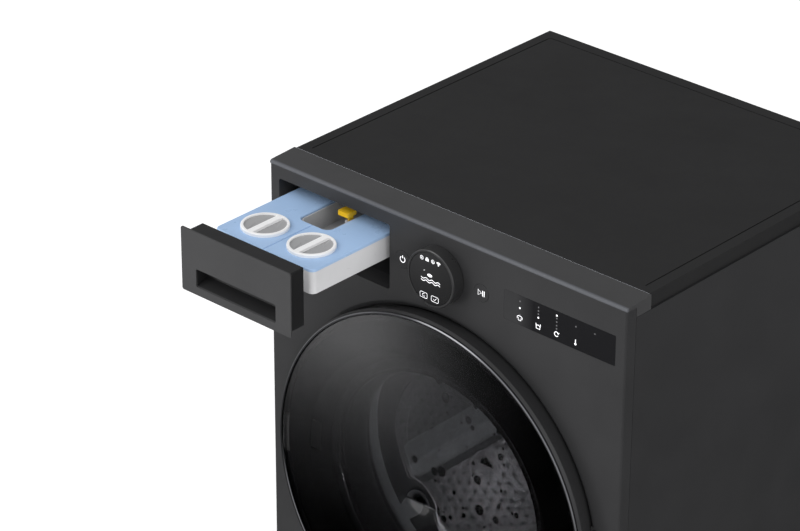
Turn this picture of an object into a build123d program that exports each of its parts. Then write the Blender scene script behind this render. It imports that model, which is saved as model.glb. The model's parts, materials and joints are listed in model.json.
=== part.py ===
from build123d import *
import math
import os

# Front loading washing machine, in millimetres. X points to the right seen from the front,
# +Y points to the back and +Z up. The pieces are laid out with y = 0 on the front face and
# z = 0 on the floor. write_node then shifts them along Y, so that the origin is under the
# middle of the whole outline with the detergent drawer pulled out.

# Cabinet
cabinet_width = 600.0
cabinet_depth = 560.0
cabinet_height = 850.0
sheet = 1.5              # pressed steel panels
panel_wall = 2.0         # moulded front panel
seam = 0.5               # gap between neighbouring outer panels
corner_round = 3.0
return_depth = 18.0      # side returns of the front panel
fold_width = 9.0         # folded edges of the side panels
foot_height = 18.0       # floor to the underside of the base
base_height = 32.0
base_wall = 10.0
base_set_back = 12.0
plinth_gap = 2.0

# Top
cap_depth = 46.0
cap_rise = 2.0
cap_lip = 4.5
cap_wall = 2.5
cap_round = 3.5
top_skirt = 20.0
top_wall = 3.0
top_inset = 2.7
groove_inset = 19.0
groove_width = 1.8
groove_depth = 1.2
groove_start = 59.0

# Feet
foot_inset_x = 52.0
foot_inset_y = 55.0
foot_pad_radius = 20.0
foot_pad_height = 9.0
foot_nut_radius = 9.0
foot_stud_radius = 5.0
foot_stud_top = 44.0
foot_boss = 26.0         # half width of the boss in the base
turn_gap = 0.05          # radial running clearance of pins and studs

# Drum axis and door
axis_z = 465.0
door_ring_radius = 262.0
door_ring_width = 4.4
door_ring_front = 28.4   # in front of the cabinet face
door_ring_depth = 4.0
door_rim_flare = 2.2     # rim of the door beyond its ring
door_back_taper = 4.5    # back of the door inside its ring
door_back = 8.0          # behind the cabinet face
door_wall = 3.2
glass_gap = 0.2
glass_thickness = 4.0
glass_edge_front = 26.5
glass_dome = 10.5
inner_frame_thickness = 6.0
bowl_gap = 2.0           # between the bowl and the drum's mouth, on radius
bowl_taper = 26.0
bowl_tip = 92.0
bowl_wall = 5.0
bowl_flange = 12.0
recess_gap = 2.5         # round the back of the door
recess_round = 8.0
recess_depth = 14.0
port_step = 10.0         # panel port beyond the tub's neck
port_flange = 12.0

# Door hinge, hook, lock and grip
hinge_inset = 10.0       # hinge axis inside the door's ring
hinge_y = -18.0
hinge_knuckle = 4.2
hinge_pin_radius = 2.5
hinge_leaf_half = 21.0
hinge_arm = 6.0
hinge_arm_width = 7.0
hinge_arm_offset = 5.5   # arm to the right of the axis, clear of the open door's rim
hinge_eye = 4.0
hinge_space = 0.6
hook_inset = 24.0
hook_pin_radius = 1.5
hook_barrel = 3.5
hook_half = 12.0
hook_reach = 38.0
lock_depth = 28.0
grip_lap = 4.0           # pocket runs into the dish by this much
grip_width = 30.0
grip_half = 55.0
grip_depth = 24.0

# Detergent drawer, shown pulled out by drawer_open
drawer_open = 180.0
plate_side_inset = 17.2
plate_width = 193.8
plate_top_drop = 24.9
plate_height = 90.7
plate_thickness = 2.0
plate_round = 3.0
slot_gap = 1.2
slot_depth = 30.0
box_left_inset = 12.5
box_right_inset = 2.6
box_bottom_inset = 6.5
box_top_inset = 1.6
box_depth = 24.0
box_wall = 2.5
pull_inset_x = 25.6
pull_rise = 11.6         # above the plate's lower edge
pull_height = 26.0
pull_depth = 20.0
pull_slope = 8.0
tray_gap = 24.0          # between the plate's box and the tray
tray_length = 260.0
tongue_half = 60.0       # bar that joins the tray to the plate
tongue_inset = 5.0
tray_side_inset = 9.9    # tray inside the plate, each side
tray_rise = 37.6
tray_height = 31.0
tray_wall = 2.5
tray_round = 8.0
lid_thickness = 4.0
lid_seam = 0.6
tank_cap_radius = 32.0
tank_cap_offset = 41.0
tank_cap_set = 46.0      # behind the front of the tray
tank_cap_height = 4.5
tank_plug_radius = 26.8
tank_plug_gap = 0.3
cup_half = 26.0
cup_set = 92.0           # behind the front of the tray
cup_length = 112.0
cup_wall = 2.0
cup_depth = 29.0
cup_round = 10.0
cup_gap = 0.8
cup_floor_rise = 3.0     # seat of the cup above the underside of the tray
cup_rest = 0.4
tab_size = 18.0
tab_set = 39.0           # behind the front of the cup
tab_height = 6.0
tab_travel = 3.0
tab_stem_half = 4.0
tab_stem_thickness = 3.0
housing_end_gap = 6.0    # behind the closed drawer
housing_wall = 2.5
housing_drop = 3.0       # floor of the housing below the slot
rail_height = 5.7
rail_width = 19.0
slide_gap = 0.3

# Dial and buttons
dial_drop = 62.0         # below the top of the cabinet
dial_radius = 39.5
dial_taper = 0.9
dial_front = 20.0
dial_off_panel = 1.0
dial_ring_width = 3.5
dial_gap = 0.25
dial_post_radius = 28.0
dial_stud_radius = 10.0
button_radius = 12.0
button_gap = 0.3
power_x = -65.0
start_x = 68.0
board_left = -70.0
board_right = 288.0
board_y = 30.0
board_top_drop = 26.0
board_height = 76.0
board_thickness = 1.6
board_post_radius = 3.5
button_drop = 64.7
button_travel = 1.5
window_side_inset = 16.0
window_length = 178.7
window_top_drop = 44.7
window_height = 41.9
window_gap = 0.15

# Tub, drum and drive
tub_inner = 250.0
tub_wall = 4.0
tub_front_y = 92.0
tub_split_y = 250.0
tub_back_y = 442.0
tub_flange = 10.0
neck_step = 26.0         # tub's neck beyond the drum's mouth
neck_length = 20.0
drum_gap = 12.0          # between drum and tub
drum_wall = 2.0
drum_front_gap = 22.0
drum_back_gap = 32.0
mouth_step = 60.0        # drum's mouth inside its wall
lifter_height = 48.0
lifter_base = 72.0
lifter_top = 22.0
lifter_front_gap = 14.0
lifter_back_gap = 12.0
weight_gap_inside = 8.0
weight_depth = 22.0
shaft_radius = 15.0
hub_radius = 42.0
hub_length = 42.0
front_bearing_radius = 36.0
front_bearing_width = 19.0
rear_bearing_radius = 31.0
rear_bearing_width = 17.0
bearing_shoulder = 3.0
seat_gap = 0.02
stator_outer = 128.0
stator_inner = 50.0
stator_thickness = 24.0
stator_teeth = 36
air_gap = 1.5
rotor_wall = 4.0
rotor_gap = 4.0          # between the hub and the rotor's disc
gasket_lap = 6.0         # gasket's lip inside the drum's mouth
gasket_wall = 3.0

# Suspension
spring_inset = 22.0      # spring inside the tub's side
spring_y = 345.0
spring_radius = 14.0
spring_wire = 4.0
spring_ear_rise = 195.0  # tub's ears above the drum axis
spring_top_drop = 50.0
damper_spots = ((-170.0, 226.0), (170.0, 226.0), (120.0, 372.0))
damper_radius = 16.0
damper_bore = 13.0
damper_top = 188.0
damper_rod_radius = 6.0
damper_piston_z = 112.0
damper_lug = 20.0
bounce = 6.0             # travel of the tub each way

# Water
sump_x = -120.0
sump_y = 122.0
sump_radius = 24.0
fill_x = -190.0
fill_y = 152.0
fill_radius = 20.0
hose_wall = 3.0
hose_grip = 16.0         # length of hose pushed over a spout
hose_gap = 0.2
filter_x = -212.0
filter_z = 97.0
filter_radius = 26.0
filter_gap = 0.15
pump_wall = 4.0
pump_front = 33.0
pump_back = 150.0
hatch_half = 59.0
hatch_z0 = 62.5
hatch_z1 = 131.5
hatch_gap = 1.2
hatch_barrel = 4.0
hatch_peg = 2.0
port_reach = 20.0        # how far the rear fittings stand out
inlet_radius = 13.22     # three quarter inch pipe thread, outside
inlet_bore = 8.0
inlet_spacing = 50.0     # between the hot and the cold inlet
valve_spout_radius = 9.0
valve_spring_gap = 15.8  # between the valve's hose and the spring beside it
inlet_drop = 70.0
port_shoulder = 6.0      # collar behind each free pin
port_step_out = 3.0      # collar beyond its pin
port_hole_gap = 0.6
drain_radius = 11.0
drain_spout_radius = 10.0
drain_x = -250.0
drain_z = 110.0
cord_inset = 70.0
cord_drop = 80.0
cord_gland_out = 8.0
cord_gland_in = 6.0
cord_bore = 4.2
cord_gland_radius = 9.0
heater_rod = 3.0
heater_half = 18.0
heater_y0 = 300.0

# Worked out from the sizes above
half_width = cabinet_width / 2
drum_inner = tub_inner - drum_gap
drum_mouth = drum_inner - mouth_step
neck_radius = drum_mouth + neck_step
neck_front = tub_front_y - neck_length
drum_front_y = tub_front_y + drum_front_gap
drum_back_y = tub_back_y - drum_back_gap
lifter_y0 = drum_front_y + lifter_front_gap
lifter_y1 = drum_back_y - lifter_back_gap
weight_inner = neck_radius + weight_gap_inside
hub_back = tub_back_y + hub_length
rotor_disc_y = hub_back + rotor_gap
gasket_inner = drum_mouth - gasket_lap
port_radius = neck_radius + port_step
bowl_mouth_radius = drum_mouth - bowl_gap
bowl_tip_radius = bowl_mouth_radius - bowl_taper
door_rim_radius = door_ring_radius + door_rim_flare
door_back_radius = door_ring_radius - door_back_taper
recess_radius = door_back_radius + recess_gap
hinge_x = hinge_inset - door_ring_radius
notch_z = hinge_leaf_half + hinge_arm + 4
hook_x = door_ring_radius - hook_inset
hook_pin_y = door_back - inner_frame_thickness / 2
grip_x0 = recess_radius - grip_lap
grip_x1 = grip_x0 + grip_width
plate_x0 = plate_side_inset - half_width
plate_x1 = plate_x0 + plate_width
plate_z1 = cabinet_height - plate_top_drop
plate_z0 = plate_z1 - plate_height
pull_z0 = plate_z0 + pull_rise
tray_half = plate_width / 2 - tray_side_inset
tray_z0 = plate_z0 + tray_rise
dial_z = cabinet_height - dial_drop
dial_base_radius = dial_radius - dial_taper
display_radius = dial_radius - dial_ring_width
button_z = cabinet_height - button_drop
window_x1 = half_width - window_side_inset
window_x0 = window_x1 - window_length
window_z1 = cabinet_height - window_top_drop
window_z0 = window_z1 - window_height
inlet_z = cabinet_height - inlet_drop
cord_x = half_width - cord_inset
cord_z = cabinet_height - cord_drop
front_y = -(cabinet_depth + port_reach - drawer_open) / 2
cap_front_z = cabinet_height - cap_rise
panel_top_z = cap_front_z - cap_lip
skirt_z = cabinet_height - top_skirt
base_top_z = foot_height + base_height
panel_bottom_z = base_top_z + plinth_gap
side_front_y = return_depth + seam
rear_y = cabinet_depth - sheet
slot = (plate_x0 - slot_gap, plate_x1 + slot_gap, plate_z0 - slot_gap, plate_z1 + slot_gap)
drawer_x = (plate_x0 + plate_x1) / 2
plate_y = -drawer_open
box_back_y = plate_y + plate_thickness + box_depth
tray_y0 = box_back_y + tray_gap
tray_y1 = tray_y0 + tray_length
tank_cap_y = tray_y0 + tank_cap_set
cup_y0 = tray_y0 + cup_set
cup_y1 = cup_y0 + cup_length
tab_y0 = cup_y0 + tab_set
tab_stem_x = drawer_x + cup_half - cup_wall - 3.5
lid_z = tray_z0 + tray_height
lid_top_z = lid_z + lid_thickness
housing_y0 = slot_depth + seam
housing_y1 = tray_y1 + drawer_open + housing_end_gap + housing_wall
tub_outer = tub_inner + tub_wall
spring_x = tub_outer - spring_inset
valve_hose_radius = valve_spout_radius + hose_gap + hose_wall
valve_x = spring_radius + valve_spring_gap + valve_hose_radius - spring_x
inlet_spots = (valve_x - inlet_spacing / 2, valve_x + inlet_spacing / 2)
spring_z0 = axis_z + spring_ear_rise
spring_z1 = cabinet_height - spring_top_drop
glass_radius = door_ring_radius - door_ring_width - glass_gap
recess_floor_y = recess_depth
stator_y = tub_back_y + 8.0
hatch_axis_z = hatch_z0 + hatch_barrel
pump_spout_top = filter_z + sump_radius + 26
lock_slot = (hook_x - 10.5, hook_x + 12.0)
heater_z = axis_z - (tub_inner + drum_inner + drum_wall) / 2


def block(x0, x1, y0, y1, z0, z1):
    """Box between two corners."""
    return Pos((x0 + x1) / 2, (y0 + y1) / 2, (z0 + z1) / 2) * Box(x1 - x0, y1 - y0, z1 - z0)


def rounded(shape, axis, radius):
    """The shape with every edge along one axis rounded."""
    return fillet(shape.edges().filter_by(axis), radius)


def rod_x(y, z, radius, x0, x1):
    return Pos((x0 + x1) / 2, y, z) * Rot(0, 90, 0) * Cylinder(radius, x1 - x0)


def rod_y(x, z, radius, y0, y1):
    return Pos(x, (y0 + y1) / 2, z) * Rot(90, 0, 0) * Cylinder(radius, y1 - y0)


def rod_z(x, y, radius, z0, z1):
    return Pos(x, y, (z0 + z1) / 2) * Cylinder(radius, z1 - z0)


def face_of(*lines):
    """Flat face inside a closed run of lines and arcs."""
    return make_face([edge for line in lines for edge in line.edges()])


def turned(face, x=0.0, z=axis_z):
    """Face in (radius, y) turned about the line along Y through x and z."""
    return Pos(x, 0, z) * revolve(face, Axis.Y)


def turned_outline(points, x=0.0, z=axis_z):
    return turned(face_of(Polyline(*points, close=True)), x, z)


def prism_x(points, x0, x1):
    """Outline in (y, z) drawn out along X."""
    face = face_of(Polyline(*[(x0, y, z) for y, z in points], close=True))
    return extrude(face, x1 - x0, dir=(1, 0, 0))


def prism_y(points, y0, y1):
    """Outline in (x, z) drawn out along Y."""
    face = face_of(Polyline(*[(x, y0, z) for x, z in points], close=True))
    return extrude(face, y1 - y0, dir=(0, 1, 0))


def dome_line(radius, centre_y, sag):
    """Half of a shallow dome, from the axis out to a radius, falling back by sag."""
    sphere = (radius**2 + sag**2) / (2 * sag)
    middle_y = centre_y + sphere - math.sqrt(sphere**2 - radius**2 / 4)
    return ThreePointArc((0, centre_y), (radius / 2, middle_y), (radius, centre_y + sag))


def under_tub(x):
    """Height of the tub's outer wall straight below its axis, at x."""
    return axis_z - math.sqrt(tub_outer**2 - x**2)


def over_tub(x):
    return axis_z + math.sqrt(tub_outer**2 - x**2)


def inner_side(x, radius):
    """Side of a hose at x that is nearer to the middle of the tub."""
    return abs(x) - radius - hose_gap - hose_wall


def write_node(name, *shapes):
    moved = [solid for shape in shapes for solid in (Pos(0, front_y, 0) * shape).solids()]
    export_step(moved[0] if len(moved) == 1 else Compound(moved), f"parts/{name}.step")


# Cabinet

def recess():
    """Dish that the door closes into, with the flange that carries the gasket."""
    lip = recess_radius + recess_round
    wall = panel_wall
    back = recess_floor_y
    front_arc = CenterArc((lip, recess_round), recess_round, 180, 90)
    back_arc = CenterArc((lip, recess_round), recess_round - wall, 180, 90)
    inside = Polyline(
        (recess_radius, recess_round),
        (recess_radius, back),
        (port_radius, back),
        (port_radius, back + port_flange),
        (port_radius + wall, back + port_flange),
        (port_radius + wall, back + wall),
        (recess_radius + wall, back + wall),
        (recess_radius + wall, recess_round),
    )
    rim = Line((lip, wall), (lip, 0))
    return turned(face_of(front_arc, inside, back_arc, rim))


def grip_pocket():
    """Pocket beside the door that lets fingers behind its rim."""
    wall = panel_wall
    z0 = axis_z - grip_half
    z1 = axis_z + grip_half
    outer = block(grip_x0 - wall, grip_x1 + wall, 0, grip_depth + wall, z0 - wall, z1 + wall)
    inner = rounded(block(grip_x0, grip_x1, -1, grip_depth, z0, z1), Axis.Y, 6)
    into_dish = block(grip_x0 - 8, grip_x0 + 8, -1, recess_floor_y - 1, z0 + 7, z1 - 7)
    return outer, inner + into_dish


def hatch_bosses():
    """Bored lugs behind the panel that hold the pegs of the filter hatch."""
    reach = hatch_half + hatch_gap
    lug = 8.0
    z0 = hatch_axis_z - hatch_barrel
    z1 = hatch_axis_z + hatch_barrel
    lugs = Part()
    for side in (-1, 1):
        inner = filter_x + side * reach
        x0, x1 = sorted((inner, inner + side * lug))
        bore = rod_x(hatch_barrel, hatch_axis_z, hatch_peg + turn_gap, x0 - 1, x1 + 1)
        lugs += block(x0, x1, panel_wall, 2 * hatch_barrel, z0, z1) - bore
    return lugs


def front_panel():
    wall = panel_wall
    shell = block(-half_width, half_width, 0, return_depth, panel_bottom_z, panel_top_z)
    front_corners = shell.edges().filter_by(Axis.Z).sort_by(Axis.Y)[:2]
    shell = fillet(front_corners, corner_round)
    inner_x = half_width - wall
    shell -= block(-inner_x, inner_x, wall, return_depth + 1, panel_bottom_z + wall, panel_top_z - wall)
    x0, x1, z0, z1 = slot
    sleeve = block(x0 - wall, x1 + wall, 0, slot_depth, z0 - wall, z1 + wall)
    shell += rounded(sleeve, Axis.Y, plate_round + wall)
    shell -= rounded(block(x0, x1, -1, slot_depth + 1, z0, z1), Axis.Y, plate_round + slot_gap / 2)
    shell -= rod_y(0, axis_z, recess_radius + recess_round, -1, wall + 1)
    shell += recess()
    pocket_wall, pocket = grip_pocket()
    shell += pocket_wall - rod_y(0, axis_z, recess_radius + 1, -1, recess_floor_y)
    shell -= pocket
    shell -= rod_y(0, dial_z, dial_stud_radius + dial_gap, -1, wall + 1)
    for x in (power_x, start_x):
        shell -= rod_y(x, button_z, button_radius + button_gap, -1, wall + 1)
    gap = window_gap
    window = block(window_x0 - gap, window_x1 + gap, -1, wall + 1, window_z0 - gap, window_z1 + gap)
    shell -= rounded(window, Axis.Y, 1.5)
    hatch_x0 = filter_x - hatch_half - hatch_gap
    hatch_x1 = filter_x + hatch_half + hatch_gap
    hatch = block(hatch_x0, hatch_x1, -1, wall + 1, hatch_z0 - hatch_gap, hatch_z1 + hatch_gap)
    shell -= rounded(hatch, Axis.Y, 3)
    shell += hatch_bosses()
    behind_y = recess_floor_y + wall + 1
    shell -= block(*lock_slot, recess_floor_y - 1, behind_y, axis_z - hook_half, axis_z + hook_half)
    return shell


def side_panel(side):
    """Flat steel side with folded edges and the hanger of one suspension spring."""
    outer_x = side * half_width
    inner_x = side * (half_width - sheet)
    fold_x = side * (half_width - fold_width)
    x0, x1 = sorted((outer_x, inner_x))
    f0, f1 = sorted((outer_x, fold_x))
    z0 = foot_height
    z1 = skirt_z - seam
    fold_z0 = base_top_z + seam
    back = rear_y - seam
    panel = block(x0, x1, side_front_y, back, z0, z1)
    panel += block(f0, f1, side_front_y, side_front_y + sheet, fold_z0, z1)
    panel += block(f0, f1, back - sheet, back, fold_z0, z1)
    panel += block(f0, f1, side_front_y, back, z1 - sheet, z1)
    h0, h1 = sorted((outer_x, side * (spring_x - spring_radius)))
    hanger_z = spring_z1
    panel += block(h0, h1, spring_y - 12, spring_y + 12, hanger_z, hanger_z + 4)
    return panel


def rear_panel():
    panel = block(-half_width, half_width, rear_y, cabinet_depth, foot_height, skirt_z - seam)
    panel = fillet(panel.edges().filter_by(Axis.Z).sort_by(Axis.Y)[-2:], 1.0)
    panel -= rod_y(0, axis_z, rear_cover_radius() - 14, rear_y - 1, cabinet_depth + 1)
    for x in inlet_spots:
        hole = inlet_radius + port_step_out + port_hole_gap
        panel -= rod_y(x, inlet_z, hole, rear_y - 1, cabinet_depth + 1)
    panel -= rod_y(drain_x, drain_z, drain_spout_radius + port_hole_gap, rear_y - 1, cabinet_depth + 1)
    panel -= rod_y(cord_x, cord_z, cord_gland_radius - 1.5, rear_y - 1, cabinet_depth + 1)
    return panel


def rear_cover_radius():
    return tub_inner - 60


def rear_cover():
    """Shallow dish screwed over the motor opening."""
    radius = rear_cover_radius()
    rise = 8.0
    crown = cabinet_depth + rise
    points = (
        (0, crown),
        (radius - 30, crown),
        (radius - 16, cabinet_depth + sheet),
        (radius, cabinet_depth + sheet),
        (radius, cabinet_depth),
        (radius - 17, cabinet_depth),
        (radius - 31, crown - sheet),
        (0, crown - sheet),
    )
    return turned_outline(points)


def base_frame():
    x = half_width - 3
    y0 = base_set_back
    y1 = rear_y - 2
    wall = base_wall
    tray = block(-x, x, y0, y1, foot_height, base_top_z)
    tray -= block(wall - x, x - wall, y0 + wall, y1 - wall, foot_height + 2, base_top_z + 1)
    for fx, fy in foot_spots():
        boss = foot_boss
        tray += block(fx - boss, fx + boss, fy - boss, fy + boss, foot_height, base_top_z - 4)
    for fx, fy in foot_spots():
        tray -= rod_z(fx, fy, foot_stud_radius + turn_gap, foot_height - 1, base_top_z + 1)
    return tray


def foot_spots():
    x = half_width - foot_inset_x
    return [(sx * x, y) for y in (foot_inset_y, cabinet_depth - foot_inset_y) for sx in (-1, 1)]


def foot(x, y):
    """Levelling foot: rubber shod pad, lock nut and stud."""
    pad = fillet(rod_z(x, y, foot_pad_radius, 0, foot_pad_height).edges().group_by(Axis.Z)[-1], 3)
    hexagon = Pos(x, y, foot_pad_height) * RegularPolygon(foot_nut_radius, 6)
    nut = extrude(hexagon, foot_height - foot_pad_height - 1)
    return pad + nut + rod_z(x, y, foot_stud_radius, foot_pad_height, foot_stud_top)


def top_cap():
    """Front rail of the top, with a rounded front edge, rising slightly to the rear seam."""
    outline = [(0, panel_top_z), (0, cap_front_z), (cap_depth, cabinet_height), (cap_depth, skirt_z)]
    cap = prism_x(outline + [(side_front_y, skirt_z), (side_front_y, panel_top_z)], -half_width, half_width)
    front_top = cap.edges().filter_by(Axis.X).group_by(Axis.Y)[0].sort_by(Axis.Z)[-1]
    cap = fillet(front_top, cap_round)
    inner = half_width - cap_wall
    hollow = [
        (cap_wall, panel_top_z - 1), (cap_wall, cap_front_z - cap_wall),
        (cap_depth + 1, cabinet_height - cap_wall), (cap_depth + 1, skirt_z - 1), (cap_wall, skirt_z - 1),
    ]
    return cap - prism_x(hollow, -inner, inner)


def top_panel():
    x = half_width - top_inset
    y0 = cap_depth + seam
    y1 = cabinet_depth
    panel = block(-x, x, y0, y1, skirt_z, cabinet_height)
    panel = rounded(panel, Axis.Z, 1.0)
    panel = fillet(panel.faces().sort_by(Axis.Z)[-1].edges(), 0.8)
    w = top_wall
    panel -= block(w - x, x - w, y0 + w, y1 - w, skirt_z - 1, cabinet_height - w)
    g0 = half_width - groove_inset
    rear = y1 - groove_inset
    floor_z = cabinet_height - groove_depth
    outer = block(-g0, g0, groove_start, rear, floor_z, cabinet_height + 1)
    outer = fillet(outer.edges().filter_by(Axis.Z).sort_by(Axis.Y)[-2:], 6)
    w = groove_width
    inner = block(w - g0, g0 - w, groove_start - 1, rear - w, floor_z - 1, cabinet_height + 2)
    inner = fillet(inner.edges().filter_by(Axis.Z).sort_by(Axis.Y)[-2:], 6 - w)
    return panel - (outer - inner)


def hatch_cover():
    """Flap over the drain filter, turning on pegs along its lower edge."""
    x0 = filter_x - hatch_half
    x1 = filter_x + hatch_half
    plate = block(x0, x1, 0, panel_wall + 0.2, hatch_axis_z, hatch_z1)
    barrel = rod_x(hatch_barrel, hatch_axis_z, hatch_barrel, x0, x1)
    pegs = rod_x(hatch_barrel, hatch_axis_z, hatch_peg, x0 - 7, x1 + 7)
    return plate + barrel + pegs


# Detergent drawer

def dispenser_housing():
    """Open fronted water box that the drawer slides into, with runners and an outlet spout."""
    w = housing_wall
    x0, x1, z0, z1 = slot
    y1 = housing_y1
    floor_z = z0 - housing_drop
    housing = block(x0 - 1, x1 + 1, housing_y0, y1, floor_z, z1 + 1.5)
    housing -= block(x0 - 1 + w, x1 + 1 - w, housing_y0 - 1, y1 - w, floor_z + w, z1 + 1.5 - w)
    rail_top = tray_z0 - slide_gap
    rail_bottom = rail_top - rail_height
    rail_reach = tray_half - rail_width / 2
    housing += block(x0, drawer_x - rail_reach, housing_y0, y1 - w, rail_bottom, rail_top)
    housing += block(drawer_x + rail_reach, x1, housing_y0, y1 - w, rail_bottom, rail_top)
    spout_z = floor_z - hose_grip - 2
    housing += rod_z(fill_x, fill_y, fill_radius, spout_z, floor_z + w)
    housing -= rod_z(fill_x, fill_y, fill_radius - 3, spout_z - 1, z0)
    return housing


def drawer_front():
    """Face plate with a shallow box behind it and a finger pull sunk into both."""
    y0 = plate_y
    back = box_back_y
    w = box_wall
    front = block(plate_x0, plate_x1, y0, y0 + plate_thickness, plate_z0, plate_z1)
    front = rounded(front, Axis.Y, plate_round)
    x0 = plate_x0 + box_left_inset
    x1 = plate_x1 - box_right_inset
    z0 = plate_z0 + box_bottom_inset
    z1 = plate_z1 - box_top_inset
    front += rounded(block(x0, x1, y0 + plate_thickness, back, z0, z1), Axis.Y, 1.5)
    front -= block(x0 + w, x1 - w, y0 + plate_thickness + w, back + 1, z0 + w, z1 - w)
    px0 = plate_x0 + pull_inset_x
    px1 = plate_x1 - pull_inset_x - 1
    pz1 = pull_z0 + pull_height
    front += block(px0 - w, px1 + w, y0 + plate_thickness, y0 + pull_depth + w, pull_z0 - w, pz1 + w)
    front -= rounded(block(px0, px1, y0 - 1, y0 + pull_depth, pull_z0, pz1), Axis.Y, 2.5)
    ramp = [(y0 + 0.4, pull_z0), (y0 + pull_depth, pull_z0), (y0 + pull_depth, pull_z0 + pull_slope)]
    return front + prism_x(ramp, px0 + 0.8, px1 - 0.8)


def cup_pocket(grow):
    """Space in the drawer for the manual cup, grown by a gap on every side."""
    x0 = drawer_x - cup_half - grow
    x1 = drawer_x + cup_half + grow
    y0 = cup_y0 - grow
    y1 = cup_y1 + grow
    z0 = tray_z0 + cup_floor_rise
    return rounded(block(x0, x1, y0, y1, z0, lid_top_z + 20), Axis.Z, cup_round + grow)


def drawer_tray():
    """Moulded tray: a detergent tank, a softener tank and the seat of the cup."""
    w = tray_wall
    x0 = drawer_x - tray_half
    x1 = drawer_x + tray_half
    tray = rounded(block(x0, x1, tray_y0, tray_y1, tray_z0, lid_z), Axis.Z, tray_round)
    tongue_y = plate_y + plate_thickness + box_wall
    tongue_x0 = drawer_x - tongue_half
    tongue_x1 = drawer_x + tongue_half
    tray += block(tongue_x0, tongue_x1, tongue_y, tray_y0, tray_z0 + tongue_inset, lid_z - tongue_inset)
    floor_z = tray_z0 + w
    wall_y = cup_y0 - cup_gap - w
    for side in (-1, 1):
        inner = drawer_x + side * w / 2
        outer = drawer_x + side * (tray_half - w)
        beside = drawer_x + side * (cup_half + cup_gap + w)
        a0, a1 = sorted((inner, outer))
        b0, b1 = sorted((beside, outer))
        tray -= block(a0, a1, tray_y0 + w, wall_y, floor_z, lid_z + 1)
        tray -= block(b0, b1, wall_y - 1, tray_y1 - w, floor_z, lid_z + 1)
    return tray - cup_pocket(cup_gap)


def tank_lid(side):
    """Lid of one tank, cut away round the cup and holed for its filler cap."""
    outer = drawer_x + side * tray_half
    inner = drawer_x + side * lid_seam / 2
    x0, x1 = sorted((outer, inner))
    lid = block(x0, x1, tray_y0, tray_y1, lid_z, lid_top_z)
    corners = lid.edges().filter_by(Axis.Z).sort_by(Axis.X)
    lid = fillet(corners[:2] if side < 0 else corners[2:], tray_round)
    lid -= cup_pocket(cup_gap)
    lid = fillet(lid.faces().sort_by(Axis.Z)[-1].edges(), 1.6)
    x = drawer_x + side * tank_cap_offset
    return lid - rod_z(x, tank_cap_y, tank_plug_radius + tank_plug_gap, lid_z - 1, lid_top_z + 1)


def tank_cap(side):
    """Round filler cap with two sunk half moons either side of a grip bar."""
    x = drawer_x + side * tank_cap_offset
    z0 = lid_top_z + 0.1
    z1 = z0 + tank_cap_height
    rim = 4.0
    bar = 4.5
    cap = rod_z(x, tank_cap_y, tank_cap_radius, z0, z1)
    cap = fillet(cap.edges().group_by(Axis.Z)[-1], 1.5)
    moons = rod_z(x, tank_cap_y, tank_cap_radius - rim, z0 + 1, z1 + 1)
    moons -= block(x - bar, x + bar, tank_cap_y - 40, tank_cap_y + 40, z0, z1 + 2)
    plug = rod_z(x, tank_cap_y, tank_plug_radius, lid_z - 4, z0)
    return cap - moons + plug


def manual_cup():
    """Lift out cup for a single dose, open at the top and along part of its rear wall."""
    w = cup_wall
    x0 = drawer_x - cup_half
    x1 = drawer_x + cup_half
    y1 = cup_y1
    z0 = tray_z0 + cup_floor_rise + cup_rest
    z1 = z0 + cup_depth
    cup = rounded(block(x0, x1, cup_y0, y1, z0, z1), Axis.Z, cup_round)
    cup -= rounded(block(x0 + w, x1 - w, cup_y0 + w, y1 - w, z0 + w, z1 + 1), Axis.Z, cup_round - w)
    cup -= block(drawer_x - 12, drawer_x + 12, y1 - w - 1, y1 + 1, z1 - 14, z1 + 1)
    guide = tab_stem_half + 2.5
    y = tab_y0 + tab_size / 2
    cup += block(tab_stem_x - 4, x1 - w, y - guide, y + guide, z1 - 20, z1 - 1)
    half = tab_stem_half + slide_gap
    slit = tab_stem_thickness / 2 + slide_gap
    return cup - block(tab_stem_x - slit, tab_stem_x + slit, y - half, y + half, z1 - 21, z1)


def release_tab():
    """Press tab on the cup's side wall that frees the drawer from its runners."""
    x0 = drawer_x + cup_half - cup_wall - tab_size - slide_gap
    x1 = x0 + tab_size
    z0 = lid_top_z + tab_travel - 1
    tab = block(x0, x1, tab_y0, tab_y0 + tab_size, z0, z0 + tab_height)
    y = tab_y0 + tab_size / 2
    slit = tab_stem_thickness / 2
    half = tab_stem_half
    stem = block(tab_stem_x - slit, tab_stem_x + slit, y - half, y + half, z0 - 16, z0)
    return rounded(tab, Axis.Z, 2) + stem


# Controls

def dial_display():
    """Fixed black disc in the dial, on a post through the panel."""
    front = 0.5 - dial_front
    back = 4.5 - dial_front
    stud_end = 12
    points = (
        (0, front),
        (display_radius - 0.5, front),
        (display_radius, front + 0.5),
        (display_radius, back),
        (dial_post_radius, back),
        (dial_post_radius, 0),
        (dial_stud_radius, 0),
        (dial_stud_radius, stud_end),
        (0, stud_end),
    )
    return turned_outline(points, 0, dial_z)


def dial_ring():
    """Turning ring round the display, held behind it by an inner flange."""
    inner = display_radius + dial_gap
    bore = dial_post_radius + dial_gap
    flange_front = 8 - dial_front
    points = (
        (inner, -dial_front),
        (dial_radius - 1.2, -dial_front),
        (dial_radius, 1.2 - dial_front),
        (dial_base_radius, -dial_off_panel),
        (dial_post_radius + 2, -dial_off_panel),
        (bore, -dial_off_panel - 2),
        (bore, flange_front),
        (inner, flange_front),
    )
    return turned_outline(points, 0, dial_z)


def push_button(x):
    """Round touch of the panel, on a short plunger."""
    face = rod_y(x, button_z, button_radius, -0.4, 3)
    face = fillet(face.edges().group_by(Axis.Y)[0], 0.3)
    flange = rod_y(x, button_z, button_radius + 1.5, 4, 5)
    return face + rod_y(x, button_z, button_radius - 1, 3, 5) + flange


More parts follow.
